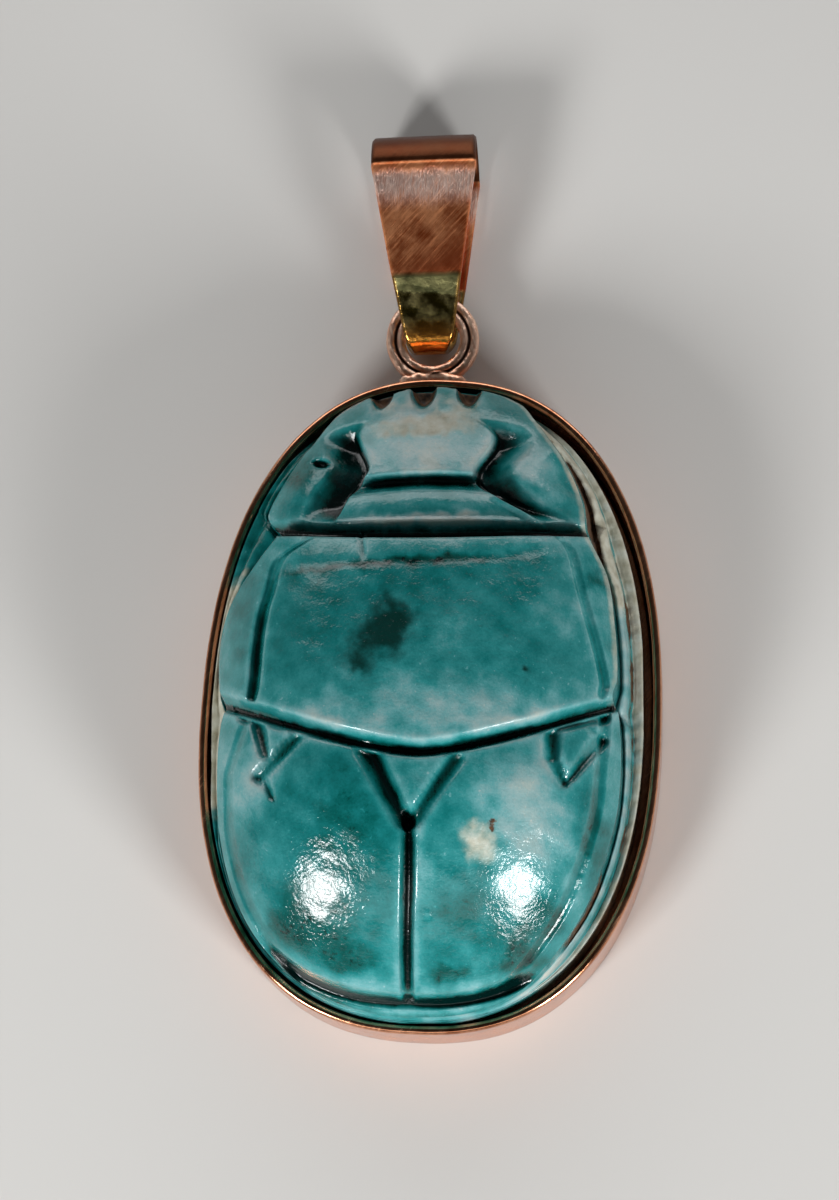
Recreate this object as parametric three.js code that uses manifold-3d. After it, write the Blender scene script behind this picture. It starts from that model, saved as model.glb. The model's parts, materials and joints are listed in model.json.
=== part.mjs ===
// Scarab amulet: a glazed stone scarab held in a rose-gold bezel, with a soldered
// hanger ring and a folded bail. Millimetres, +Z up out of the beetle's back, +Y
// towards the bail. The pendant lies on its back: the bezel's lower edge is at z = 0.
import * as THREE from 'three';
import { ParametricGeometry } from 'three/addons/geometries/ParametricGeometry.js';
import { mergeGeometries, mergeVertices } from 'three/addons/utils/BufferGeometryUtils.js';
import Module from 'manifold-3d';

const wasm = await Module();
wasm.setup();

// ---------- driving dimensions ----------

// The bezel's centre; the whole pendant is centred on the origin in X and Y.
const BEZEL_CENTRE = new THREE.Vector2(0.15, -7.35);

// Outer oval of the bezel: half sizes, fullness (2 is an ellipse), how much narrower
// the head end is, and how far the hand-bent oval sits turned.
const OVAL = { a: 12.62, b: 18.3, fullness: 2.35, taper: 0.045, turn: THREE.MathUtils.degToRad(-3) };

// Bezel strip, with the inner ledge that the stone sits on.
const WALL = { height: 4.0, thick: 0.48, ledge: 1.45, ledgeTop: 0.7, round: 0.24 };

// Stone: the gap to the bezel, its sideways set in it, and its level lines.
const STONE = { gap: 0.4, endGap: 0.14, shift: -0.14, base: 0.8, plinth: 3.8, edge: 5.0, top: 13.3 };
const RIDGE_Y = -5;      // where the back is highest
const HEAD_END = 17.75;
const TAIL_END = -17.75;

// Hanger ring of twin-bead wire, lying flat, with its lump of solder.
const RING = { y: 21.0, z: 2.2, mean: 2.07, bead: 0.27, half: 0.5, groove: 0.26 };
const SOLDER = { wide: 3.7, z0: 1.3, z1: 3.05 };

// Bail: a folded strip, wide at the top fold and narrow at the turn in the ring.
const BAIL = {
  thick: 0.5, top: 32.95, foldR: 2.35, kneeY: 24.35, kneeZ: 4.35,
  turnY: 20.25, turnR: 1.32, turnZ: 1.95,
  topWide: 5.9, kneeWide: 3.95, turnWide: 2.45, lean: THREE.MathUtils.degToRad(1.3),
};

// ---------- small helpers ----------

const lerp = THREE.MathUtils.lerp;
const clamp = THREE.MathUtils.clamp;
const smooth = (x, lo, hi) => THREE.MathUtils.smoothstep(x, lo, hi);

// A smooth line through a few [y, x] stations.
function along(stations) {
  return (y) => {
    const last = stations.length - 1;
    let k = 0;
    while (k < last - 1 && y > stations[k + 1][0]) k += 1;
    const [p, q] = [stations[k], stations[k + 1]];
    const t = clamp((y - p[0]) / (q[0] - p[0]), 0, 1);
    const slope = (i) => {
      const [a, b] = [stations[Math.max(i - 1, 0)], stations[Math.min(i + 1, last)]];
      return (b[1] - a[1]) / (b[0] - a[0]);
    };
    const h = q[0] - p[0];
    const [m0, m1] = [slope(k) * h, slope(k + 1) * h];
    const [t2, t3] = [t * t, t * t * t];
    return p[1] * (2 * t3 - 3 * t2 + 1) + m0 * (t3 - 2 * t2 + t) + q[1] * (3 * t2 - 2 * t3) + m1 * (t3 - t2);
  };
}

// A cut with one flank on each side of its deepest line, as deep as 1 there.
function cut(d, below, above) {
  const t = d < 0 ? -d / below : d / above;
  return t < 1 ? 1 - t : 0;
}

// Joins open surface patches into one closed geometry without repeated corners.
function closed(patches) {
  const bare = patches.map((patch) => {
    patch.deleteAttribute('normal');
    patch.deleteAttribute('uv');
    return patch;
  });
  const merged = mergeVertices(mergeGeometries(bare), 1e-4);
  const index = merged.index.array;
  const kept = [];
  for (let i = 0; i < index.length; i += 3) {
    const [a, b, c] = [index[i], index[i + 1], index[i + 2]];
    if (a !== b && b !== c && c !== a) kept.push(a, b, c);
  }
  merged.setIndex(kept);
  return merged;
}

function toSolid(geometry) {
  const body = closed([geometry]);
  return new wasm.Manifold(new wasm.Mesh({
    numProp: 3,
    vertProperties: new Float32Array(body.attributes.position.array),
    triVerts: new Uint32Array(body.index.array),
  }));
}

function toGeometry(solid) {
  const mesh = solid.getMesh();
  const geometry = new THREE.BufferGeometry();
  geometry.setAttribute('position', new THREE.BufferAttribute(mesh.vertProperties, 3));
  geometry.setIndex(new THREE.BufferAttribute(mesh.triVerts, 1));
  geometry.computeVertexNormals();
  return geometry;
}

// ---------- the oval ----------

// A point of the bezel's oval at a parameter angle, moved inwards along its normal.
function ovalPoint(angle, inset = 0) {
  const at = (t) => {
    const [c, s] = [Math.cos(t), Math.sin(t)];
    const full = OVAL.fullness;
    const k = (Math.abs(c) ** full + Math.abs(s) ** full) ** (-1 / full);
    const [x, y] = [OVAL.a * c * k * (1 - OVAL.taper * s * k), OVAL.b * s * k];
    return new THREE.Vector2(x, y).rotateAround(new THREE.Vector2(), OVAL.turn);
  };
  const step = 1e-3;
  const tangent = at(angle + step).sub(at(angle - step)).normalize();
  return at(angle).add(new THREE.Vector2(-tangent.y, tangent.x).multiplyScalar(inset));
}

// The stone's oval is the bezel's inside less the gap, narrower at the ends' sides.
function stonePoint(angle) {
  const side = Math.abs(Math.cos(angle));
  const p = ovalPoint(angle, WALL.thick + lerp(STONE.endGap, STONE.gap, smooth(side, 0, 0.6)));
  return p.add(new THREE.Vector2(STONE.shift * smooth(side, 0, 0.6), 0));
}

// Half width of the stone's oval at a height y of its own, before it is turned.
const TILT = Math.sin(OVAL.turn);
const STONE_A = OVAL.a - WALL.thick - STONE.gap;
const STONE_B = OVAL.b - WALL.thick - STONE.endGap;
function stoneHalf(y) {
  const t = clamp(Math.abs(y) / STONE_B, 0, 0.9999);
  return STONE_A * (1 - t ** OVAL.fullness) ** (1 / OVAL.fullness) * (1 - OVAL.taper * y / STONE_B);
}

// The stone's oval as x at a height y (side is -1 or 1), and as y at a distance x.
function ovalX(side, y) {
  let x = 0;
  for (let pass = 0; pass < 4; pass += 1) x = STONE.shift - y * TILT + side * stoneHalf(y - x * TILT);
  return x;
}
function ovalY(end, x) {
  let y = end * STONE_B;
  for (let pass = 0; pass < 4; pass += 1) {
    const across = x - STONE.shift + y * TILT;
    const t = clamp(Math.abs(across) / (STONE_A * (1 - end * OVAL.taper)), 0, 0.95);
    y = end * STONE_B * (1 - t ** OVAL.fullness) ** (1 / OVAL.fullness) + across * TILT;
  }
  return y;
}

// ---------- the beetle's guide lines ----------

// How far the carved back's edge lies inside the stone's oval, left and right.
const INSET_L = along([[-16, 0.4], [-13.3, 0.25], [-9.2, 0.45], [-5, 0.78], [-2, 1.0], [-1, 1.2], [0.1, 0.76],
  [2.9, 0.45], [4.9, 0.77], [7.4, 2.14], [8.5, 2.64], [9.3, 1.76], [10, 1.25], [12, 1.28], [14, 1.38],
  [15.4, 0.95], [16.2, 0.55]]);
const INSET_R = along([[-16, 0.6], [-14.1, 0.4], [-12, 0.3], [-9.4, 0.42], [-6.2, 0.67], [-1.7, 1.25],
  [-0.8, 1.58], [0.2, 1.35], [3.6, 1.4], [5.9, 1.48], [7.9, 2.02], [8.7, 2.06], [9.9, 1.77], [11.4, 1.63],
  [12.8, 1.56], [14, 1.5], [15.2, 1.2], [16.2, 0.65]]);

// Lines that run from tail to head, as x at a height y.
const MIDLINE = along([[-17.6, -1.15], [-8, -0.62], [8, -0.4], [17.5, -0.3]]);
const EDGE_L = (y) => ovalX(-1, y) + INSET_L(y);
const EDGE_R = (y) => ovalX(1, y) - INSET_R(y);
// Side grooves of the wing cases and thorax; on the head they are the scooped valleys.
const VALLEY_L = along([[-4.8, -10.6], [-0.8, -9.25], [1.7, -9.0], [3.7, -8.75], [5.1, -8.35], [6.9, -7.8],
  [7.9, -6.2], [8.8, -5.2], [10.6, -4.3], [12.2, -3.35], [14.4, -4.0], [15.8, -2.75], [17.6, -2.6]]);
const VALLEY_R = along([[-4.8, 9.45], [-0.5, 9.55], [1.1, 9.3], [2.7, 8.9], [5.0, 8.3], [7.2, 7.75], [8.0, 7.0],
  [9.0, 6.2], [10.2, 4.2], [11.6, 2.95], [14.0, 4.0], [15.7, 2.35], [17.6, 2.2]]);
const GROOVE_L = (y) => Math.max(VALLEY_L(y), EDGE_L(y) + 0.6);
const GROOVE_R = (y) => Math.min(VALLEY_R(y), EDGE_R(y) - lerp(1.1, 0.6, smooth(y, -5, -1)));

// Lines that run across, as y at a distance x from the middle.
const bow = (middle, leftRise, rightRise, reach, power) => (x) =>
  middle + (x < 0 ? leftRise : rightRise) * (Math.abs(x) / reach) ** power;
const THORAX_REAR = bow(-3.95, 3.35, 3.2, 10.2, 1.5);
const WING_FRONT = bow(-4.8, 3.15, 3.25, 10.2, 1.6);
const THORAX_FRONT = bow(7.5, 0.75, 0.45, 8, 2);
const NECK_FRONT = bow(8.85, 1.1, 0.1, 8.5, 4);
const TAIL_EDGE = (x) => ovalY(-1, x) + 0.3;
const TAIL_GROOVE = (x) => TAIL_EDGE(x) + 0.65 - 0.003 * x * x;
const BAND_FRONT = () => 10.65;
const PLATE_REAR = () => 11.8;
const NOTCH_REAR = () => 15.75;
const HEAD_FRONT = (x) => ovalY(1, x) - 0.3;

// ---------- the beetle's height ----------

// Height of the uncarved back along the midline.
function crown(y) {
  const rear = clamp((RIDGE_Y - y) / (RIDGE_Y - TAIL_END), 0, 1);
  const front = clamp((y - RIDGE_Y) / (HEAD_END - RIDGE_Y), 0, 1);
  const full = y < RIDGE_Y ? (1 - rear ** 1.9) ** 0.85 : (1 - front ** 1.7) ** 0.7;
  return STONE.edge + (STONE.top - STONE.edge) * full;
}

function dome(x, y) {
  const mid = MIDLINE(y);
  const lean = STONE.shift - y * TILT;
  const half = stoneHalf(y) + (x < mid ? mid - lean : lean - mid);
  const s = clamp(Math.abs(x - mid) / half, 0, 1);
  return STONE.edge + (crown(y) - STONE.edge) * (1 - s ** 2.3) ** 0.6;
}

// Height of the carved back.
function back(x, y) {
  let z = dome(x, y);
  const left = x - GROOVE_L(y);
  const right = x - GROOVE_R(y);
  const onWings = y < WING_FRONT(x) ? 1 : 0;
  const onThorax = y > THORAX_REAR(x) && y < THORAX_FRONT(x) ? 1 : 0;
  const rear = y - TAIL_GROOVE(x);

  // Wing cases: midline groove, side grooves, and the groove round the tail.
  const tail = smooth(rear, 0, 0.4);
  z -= onWings * tail * 0.75 * clamp(1.5 * cut(x - MIDLINE(y), 0.4, 0.4), 0, 1);
  z -= onWings * tail * (0.28 * cut(left, 0.25, 0.3) + 0.3 * cut(right, 0.25, 0.35));
  z -= 1.15 * cut(rear, 0.35, 0.3);
  if (rear < 0) z = Math.min(z, STONE.plinth + 0.5 + 0.6 * smooth(rear, -0.8, -0.3));

  // Seam between thorax and wing cases, with the thorax standing proud.
  const seam = (THORAX_REAR(x) + WING_FRONT(x)) / 2;
  const seamHalf = (THORAX_REAR(x) - WING_FRONT(x)) / 2;
  z -= 0.75 * clamp(1.35 * cut(y - seam, seamHalf, seamHalf), 0, 1);
  if (y < seam) z -= 0.25 * smooth(y, seam - 3, seam);

  // Thorax: the side grooves.
  z -= onThorax * (0.5 * cut(left, 0.28, 0.4) + 0.4 * cut(right, 0.22, 0.25));

  // Head: set lower behind the thorax, with neck groove, band, arched groove and scoops.
  const ahead = y - THORAX_FRONT(x);
  if (ahead > 0) {
    z -= 0.75 - 0.45 * smooth(y, 9, 16);
    z -= 0.65 * cut(y - lerp(THORAX_FRONT(x), NECK_FRONT(x), 0.4), 0.5, 0.8);
    const inner = (x > GROOVE_L(y) && x < GROOVE_R(y)) ? 1 : 0;
    z -= inner * 0.75 * cut(y - 11.35, 0.7, 0.4);
    const scoop = smooth(y, 8.6, 10.2) * (1 - smooth(y, 13.4, 15.2));
    z -= scoop * (1.0 * cut(left, 1.5, 0.55) + 1.0 * cut(right, 0.55, 1.6));
    const bite = smooth(y, NOTCH_REAR() - 0.15, 17.2);
    z -= 1.9 * bite * (cut(left, 0.5, 0.5) + cut(x - MIDLINE(y), 0.6, 0.6) + cut(right, 0.6, 0.6));
  }
  return Math.max(z, STONE.plinth + 0.25);
}

// ---------- the stone ----------

// Columns across the back: guide lines with the number of steps to the next one.
const beside = (line, by) => (y) => line(y) + by;
const COLUMNS = [
  { line: EDGE_L, steps: 3 },
  { line: beside(GROOVE_L, -0.28), steps: 1 },
  { line: GROOVE_L, steps: 1 },
  { line: beside(GROOVE_L, 0.4), steps: 7 },
  { line: beside(MIDLINE, -0.4), steps: 1 },
  { line: beside(MIDLINE, -0.15), steps: 1 },
  { line: beside(MIDLINE, 0.15), steps: 1 },
  { line: beside(MIDLINE, 0.4), steps: 7 },
  { line: beside(GROOVE_R, -0.3), steps: 1 },
  { line: GROOVE_R, steps: 1 },
  { line: beside(GROOVE_R, 0.35), steps: 3 },
  { line: EDGE_R, steps: 0 },
];
// Rows from tail to head in the same way.
const blend = (p, q, t) => (x) => lerp(p(x), q(x), t);
const ROWS = [
  { line: TAIL_EDGE, steps: 1 },
  { line: beside(TAIL_GROOVE, -0.35), steps: 1 },
  { line: TAIL_GROOVE, steps: 1 },
  { line: beside(TAIL_GROOVE, 0.3), steps: 11 },
  { line: WING_FRONT, steps: 1 },
  { line: blend(WING_FRONT, THORAX_REAR, 0.35), steps: 1 },
  { line: blend(WING_FRONT, THORAX_REAR, 0.65), steps: 1 },
  { line: THORAX_REAR, steps: 9 },
  { line: THORAX_FRONT, steps: 1 },
  { line: beside(THORAX_FRONT, 0.06), steps: 1 },
  { line: blend(THORAX_FRONT, NECK_FRONT, 0.4), steps: 1 },
  { line: NECK_FRONT, steps: 2 },
  { line: BAND_FRONT, steps: 2 },
  { line: () => 11.35, steps: 1 },
  { line: PLATE_REAR, steps: 5 },
  { line: NOTCH_REAR, steps: 3 },
  { line: HEAD_FRONT, steps: 0 },
];

// Every grid position as [guide line number, share of the way to the next].
function ticks(lines) {
  return lines.flatMap(({ steps }, i) => Array.from({ length: Math.max(steps, 1) }, (_, k) =>
    [i, k / Math.max(steps, 1)]));
}
const COLUMN_TICKS = ticks(COLUMNS);
const ROW_TICKS = ticks(ROWS);

function onLines(lines, [i, share], at) {
  return share === 0 ? lines[i].line(at) : lerp(lines[i].line(at), lines[i + 1].line(at), share);
}

function backPoint(column, row) {
  let [x, y] = [0, 0];
  for (let pass = 0; pass < 24; pass += 1) {
    y = lerp(y, onLines(ROWS, ROW_TICKS[row], x), 0.8);
    x = lerp(x, onLines(COLUMNS, COLUMN_TICKS[column], y), 0.8);
  }
  return new THREE.Vector3(x, y, back(x, y));
}

// The edge of the back, once round, anticlockwise from the tail's left corner.
const [LAST_COLUMN, LAST_ROW] = [COLUMN_TICKS.length - 1, ROW_TICKS.length - 1];
const EDGE = [];
for (let i = 0; i < LAST_COLUMN; i += 1) EDGE.push([i, 0]);
for (let j = 0; j < LAST_ROW; j += 1) EDGE.push([LAST_COLUMN, j]);
for (let i = LAST_COLUMN; i > 0; i -= 1) EDGE.push([i, LAST_ROW]);
for (let j = LAST_ROW; j > 0; j -= 1) EDGE.push([0, j]);

// The flank from the back's edge (0) out to the plinth's edge (1): wall, crevice, the
// raised line of the folded legs, a second crevice and the plinth.
function flank(edgeZ) {
  const crevice = lerp(STONE.plinth, edgeZ, 0.28);
  return [
    [0, edgeZ],
    [0.12, lerp(crevice, edgeZ, 0.75)],
    [0.26, crevice],
    [0.42, crevice + 0.3],
    [0.66, lerp(STONE.plinth, crevice, 0.75)],
    [0.74, STONE.plinth - 0.1],
    [0.93, STONE.plinth],
    [1, STONE.plinth - 0.15],
    [1, STONE.base + 0.25],
    [0.98, STONE.base],
  ];
}
const FLANK_ROWS = flank(STONE.top).length;

function flankPoint(k, row) {
  const p = backPoint(...EDGE[k % EDGE.length]);
  const angle = Math.atan2(p.y / OVAL.b, (p.x + p.y * TILT) / OVAL.a);
  const q = stonePoint(angle - OVAL.turn * 0.5);
  const [share, z] = flank(p.z)[row];
  return new THREE.Vector3(lerp(p.x, q.x, share), lerp(p.y, q.y, share), z);
}

// A surface over whole-numbered steps, as one of three.js's parametric surfaces.
function patch(pointAt, across, up) {
  return new ParametricGeometry((u, v, target) => {
    target.copy(pointAt(Math.round(u * across), Math.round(v * up)));
  }, across, up);
}

// A bar with one edge down that scores a mark from p to q into the back.
function scoringBar(p, q, widthP, widthQ, depth) {
  const [a, b] = [new THREE.Vector3(p[0], p[1], 0), new THREE.Vector3(q[0], q[1], 0)];
  a.z = dome(a.x, a.y) + widthP / 2 - depth;
  b.z = dome(b.x, b.y) + widthQ / 2 - depth;
  const bar = new THREE.CylinderGeometry(widthQ / 2, widthP / 2, a.distanceTo(b), 4);
  const turn = new THREE.Quaternion().setFromUnitVectors(new THREE.Vector3(0, 1, 0), b.clone().sub(a).normalize());
  const roll = new THREE.Quaternion().setFromAxisAngle(new THREE.Vector3(0, 1, 0), 0);
  bar.applyQuaternion(roll).applyQuaternion(turn).translate((a.x + b.x) / 2, (a.y + b.y) / 2, (a.z + b.z) / 2);
  return bar;
}

function makeScarab() {
  const top = patch(backPoint, LAST_COLUMN, LAST_ROW);
  const side = patch((k, row) => flankPoint(k, FLANK_ROWS - 1 - row), EDGE.length, FLANK_ROWS - 1);
  const under = patch((k, row) => (row === 1 ? flankPoint(k, FLANK_ROWS - 1)
    : new THREE.Vector3(0, 0, STONE.base)), EDGE.length, 1);
  const body = closed([top, side, under]);
  let solid = toSolid(body);
  const marks = [
    // The triangle between the wing cases.
    [[-2.9, -3.9], [-0.85, -8.2], 0.9, 0.8, 0.4],
    [[1.8, -4.3], [-0.4, -8.2], 1.0, 0.8, 0.4],
    // The V-shaped marks on the shoulders.
    [[-8.95, -2.5], [-8.5, -4.1], 0.7, 0.6, 0.28],
    [[-5.9, -2.5], [-8.9, -5.4], 0.7, 0.7, 0.3],
    [[6.8, -2.9], [7.4, -5.9], 0.7, 0.6, 0.3],
    [[9.4, -3.4], [7.8, -5.8], 0.8, 0.6, 0.3],
  ];
  for (const mark of marks) solid = solid.subtract(toSolid(scoringBar(...mark)));
  return toGeometry(solid);
}

// ---------- the bezel ----------

// Section of the strip as [distance in from the outer face, height], once round.
const STRIP = (() => {
  const { height, thick, ledge, ledgeTop, round } = WALL;
  const section = [[0, 0.14], [0.14, 0], [ledge - 0.12, 0], [ledge, 0.12], [ledge, ledgeTop - 0.1],
    [ledge - 0.1, ledgeTop], [thick, ledgeTop]];
  for (let k = 0; k <= 4; k += 1) {
    const t = Math.PI * k / 4;
    section.push([thick / 2 + Math.cos(t) * thick / 2, height - round + Math.sin(t) * round]);
  }
  return section;
})();

function makeBezel() {
  const around = 84;
  const strip = patch((k, row) => {
    const [inset, z] = STRIP[row % STRIP.length];
    const p = ovalPoint(-2 * Math.PI * (k % around) / around, inset);
    return new THREE.Vector3(p.x, p.y, z);
  }, around, STRIP.length);
  return closed([strip]);
}

// ---------- the hanger ring ----------

function makeRing() {
  // Two beads side by side with a fine groove between them, above and below.
  const section = [];
  const steps = 6;
  for (const [centre, from] of [[RING.mean + RING.bead, -130], [RING.mean - RING.bead, 50]]) {
    for (let k = 0; k <= steps; k += 1) {
      const t = THREE.MathUtils.degToRad(from + 260 * k / steps);
      section.push(new THREE.Vector2(centre + Math.cos(t) * RING.bead, Math.sin(t) * RING.half));
    }
    section.push(new THREE.Vector2(RING.mean, (from < 0 ? 1 : -1) * RING.groove));
  }
  section.push(section[0].clone());
  const ring = toSolid(new THREE.LatheGeometry(section, 40).rotateX(Math.PI / 2));
  // Solder fills the space between the ring and the bezel's head end.
  const lump = new THREE.Shape();
  const [half, outer] = [SOLDER.wide / 2, OVAL.b + 0.06];
  lump.moveTo(-half, outer);
  lump.lineTo(half, outer);
  lump.quadraticCurveTo(half * 0.7, outer + 0.85, 0.9, outer + 0.95);
  lump.lineTo(-0.9, outer + 0.95);
  lump.quadraticCurveTo(-half * 0.7, outer + 0.85, -half, outer);
  const solder = new THREE.ExtrudeGeometry(lump, {
    depth: SOLDER.z1 - SOLDER.z0 - 0.3, bevelSize: 0.15, bevelThickness: 0.15, bevelOffset: -0.15,
    bevelSegments: 1, curveSegments: 5,
  }).translate(0, 0, SOLDER.z0 + 0.15);
  const placed = ring.translate([0, RING.y, RING.z]);
  return toGeometry(placed.add(toSolid(solder)));
}

// ---------- the bail ----------

function makeBail() {
  const { thick, top, foldR, kneeY, kneeZ, turnY, turnR, turnZ } = BAIL;
  // Side profile in (y, z): round the top fold, down the front leaf over the knee, round
  // the turn that sits in the ring and back up the rear leaf.
  const profile = (path, inset) => {
    const [fold, turn] = [foldR - inset, turnR - inset];
    const [foldY, foldZ] = [top - foldR, foldR];
    const [turnCentreY, slope] = [turnY + turnR, THREE.MathUtils.degToRad(22)];
    path.moveTo(foldY, foldZ - fold);
    path.absarc(foldY, foldZ, fold, -Math.PI / 2, Math.PI / 2, false);
    path.lineTo(kneeY, kneeZ + (foldZ + foldR - kneeZ) * 0.4 - inset);
    path.absarc(turnCentreY, turnZ, turn, Math.PI / 2 + slope, Math.PI * 1.5 - slope * 0.6, false);
    path.lineTo(kneeY, inset + 0.03);
    path.closePath();
    return path;
  };
  const band = profile(new THREE.Shape(), 0);
  band.holes.push(profile(new THREE.Path(), thick));
  const reach = BAIL.topWide + 2;
  const loop = new THREE.ExtrudeGeometry(band, { depth: reach, bevelEnabled: false, curveSegments: 14 });
  loop.applyMatrix4(new THREE.Matrix4().makeBasis(
    new THREE.Vector3(0, 1, 0), new THREE.Vector3(0, 0, 1), new THREE.Vector3(1, 0, 0),
  )).translate(-reach / 2, 0, 0);
  // Outline seen from above.
  const leaf = new THREE.Shape();
  leaf.moveTo(-BAIL.turnWide / 2, turnY - 0.2);
  leaf.lineTo(BAIL.turnWide / 2, turnY - 0.2);
  leaf.lineTo(BAIL.kneeWide / 2, kneeY);
  leaf.lineTo(BAIL.topWide / 2, top - foldR);
  leaf.lineTo(BAIL.topWide / 2 - 0.05, top + 1);
  leaf.lineTo(-BAIL.topWide / 2 + 0.05, top + 1);
  leaf.lineTo(-BAIL.topWide / 2, top - foldR);
  leaf.lineTo(-BAIL.kneeWide / 2, kneeY);
  const cutter = new THREE.ExtrudeGeometry(leaf, { depth: 8, bevelEnabled: false }).translate(0, 0, -1);
  return toGeometry(toSolid(loop).intersect(toSolid(cutter)));
}

// ---------- assembly ----------

const glaze = { color: 0x12807c, roughness: 0.28, metalness: 0 };
const roseGold = { color: 0xc88464, roughness: 0.3, metalness: 1 };
const paleGold = { color: 0xc49468, roughness: 0.3, metalness: 1 };

function piece(name, geometry, look) {
  const mesh = new THREE.Mesh(geometry, new THREE.MeshStandardMaterial(look));
  mesh.name = name;
  return mesh;
}

const amulet = new THREE.Group();
amulet.position.set(BEZEL_CENTRE.x, BEZEL_CENTRE.y, 0);
amulet.add(piece('scarab', makeScarab(), glaze));
amulet.add(piece('bezel', makeBezel(), roseGold));
amulet.add(piece('hanger_ring', makeRing(), roseGold));

// The bail leans a little to the left of the ring it hangs on.
const bail = piece('bail', makeBail().translate(0, -RING.y, 0), paleGold);
bail.position.set(-0.16, RING.y, 0);
bail.rotation.z = BAIL.lean;
amulet.add(bail);

const pendant = new THREE.Group();
pendant.add(amulet);

export default pendant;
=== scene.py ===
# %% [markdown]
# # A scarab amulet in a rose-gold bezel
#
# The amulet is a beetle carved from soft stone and covered with a turquoise glaze. A goldsmith has set it
# in a strip bezel, soldered a ring to the head end and hung the ring on a folded bail. It lies on its back.
#
# Everything here is worked out in millimetres and turned into metres only when a mesh is made, because a
# jeweller thinks in millimetres and Blender's frame is in metres.

# %% The frame and the units
import json
import math

import bpy
import numpy as np
from mathutils import Matrix, Vector

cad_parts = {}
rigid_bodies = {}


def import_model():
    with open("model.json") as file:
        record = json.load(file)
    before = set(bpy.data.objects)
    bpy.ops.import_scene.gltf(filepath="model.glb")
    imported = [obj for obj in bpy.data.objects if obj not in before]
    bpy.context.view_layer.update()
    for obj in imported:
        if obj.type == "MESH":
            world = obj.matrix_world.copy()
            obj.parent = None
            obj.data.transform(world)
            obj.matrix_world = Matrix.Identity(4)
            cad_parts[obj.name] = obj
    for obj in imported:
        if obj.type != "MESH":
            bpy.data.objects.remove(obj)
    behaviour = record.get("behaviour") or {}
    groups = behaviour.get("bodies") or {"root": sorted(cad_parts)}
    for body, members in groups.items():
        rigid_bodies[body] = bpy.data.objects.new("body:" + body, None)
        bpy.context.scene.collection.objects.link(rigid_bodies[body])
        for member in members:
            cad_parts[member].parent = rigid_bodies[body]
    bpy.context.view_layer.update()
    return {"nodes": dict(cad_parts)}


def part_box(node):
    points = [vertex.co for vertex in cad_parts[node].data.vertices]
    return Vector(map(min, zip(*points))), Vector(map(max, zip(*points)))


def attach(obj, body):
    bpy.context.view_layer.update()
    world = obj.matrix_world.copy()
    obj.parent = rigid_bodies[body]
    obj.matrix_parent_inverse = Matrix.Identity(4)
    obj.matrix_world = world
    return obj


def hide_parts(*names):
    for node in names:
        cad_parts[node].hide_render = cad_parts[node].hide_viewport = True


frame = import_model()
MM = 0.001
print("nodes:", sorted(frame["nodes"]))


def node_box(name):
    """A node's lowest and highest corners in millimetres."""
    return [np.array(corner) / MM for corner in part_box(name)]


# %% [markdown]
# ## The oval that everything follows
#
# The bezel is a strip bent by hand round an oval block: fuller than an ellipse, a little narrower at the
# head end and turned a few degrees. One formula, a superellipse with a taper, gives the whole outline, and
# moving each point inwards along its normal gives the outlines of everything inside. A drawn curve with
# many points could do the same, but then the stone's edge wouldn't follow when the bezel changes.

# %% Sizes of the bezel and the stone
OVAL_A, OVAL_B = 12.62, 18.3
FULLNESS, TAPER, TURN = 2.35, 0.045, math.radians(-3)
WALL_HIGH, WALL_THICK = 4.0, 0.48
LEDGE_IN, LEDGE_TOP = 1.45, 0.7
GAP, END_GAP, STONE_SHIFT = 0.31, 0.08, -0.18
BASE_Z, PLINTH_Z, EDGE_Z, TOP_Z = 0.8, 3.8, 5.0, 13.3
RIDGE_Y, HEAD_END, TAIL_END = -5.0, 17.75, -17.75


def oval_point(angle, inset=0.0):
    """Points of the oval at parameter angles, moved inwards along the normal; centred on the bezel."""
    def at(t):
        c, s = np.cos(t), np.sin(t)
        k = (np.abs(c) ** FULLNESS + np.abs(s) ** FULLNESS) ** (-1 / FULLNESS)
        x, y = OVAL_A * c * k * (1 - TAPER * s * k), OVAL_B * s * k
        turned = (x * math.cos(TURN) - y * math.sin(TURN), x * math.sin(TURN) + y * math.cos(TURN))
        return np.stack(turned, -1)
    tangent = at(angle + 1e-3) - at(angle - 1e-3)
    tangent /= np.linalg.norm(tangent, axis=-1, keepdims=True)
    return at(angle) + inset * np.stack([-tangent[..., 1], tangent[..., 0]], -1)


# %% Where the bezel's centre is
turn_once = np.linspace(0, 2 * math.pi, 721)
outline = oval_point(turn_once)
low, high = node_box("bezel")
CENTRE = ((low + high) / 2)[:2] - (outline.min(0) + outline.max(0)) / 2
print("bezel centre in mm:", CENTRE.round(3), "outline", (outline.max(0) - outline.min(0)).round(2))


def place(points):
    """Millimetres from the bezel's centre to metres in the frame."""
    points = np.asarray(points, float)
    return (points + np.array([CENTRE[0], CENTRE[1], 0.0])) * MM


def within(points, node, margin):
    """Points round the bezel's centre, held inside the solid they stand for by a small margin."""
    low, high = node_box(node)
    low[:2] -= CENTRE
    high[:2] -= CENTRE
    return np.clip(points, low + margin, high - margin)


# %% [markdown]
# ## Small tools for shaping
#
# Carving is described with a handful of curves and soft steps: smooth lines through a few stations, a
# rounded groove around a line, and an unevenness such as a hand tool leaves. They work on whole arrays at
# once, so that the beetle's ninety thousand points take a second or two.

# %% Curves, steps and grooves
def mixed(a, b, t):
    return a + (b - a) * t


def soft(x, low, high):
    """0 below low, 1 above high and smooth between."""
    t = np.clip((x - low) / (high - low), 0, 1)
    return t * t * (3 - 2 * t)


def window(x, rise, full, fade, gone):
    """0 outside rise and gone, 1 between full and fade, and smooth between."""
    return soft(x, rise, full) * (1 - soft(x, fade, gone))


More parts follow.
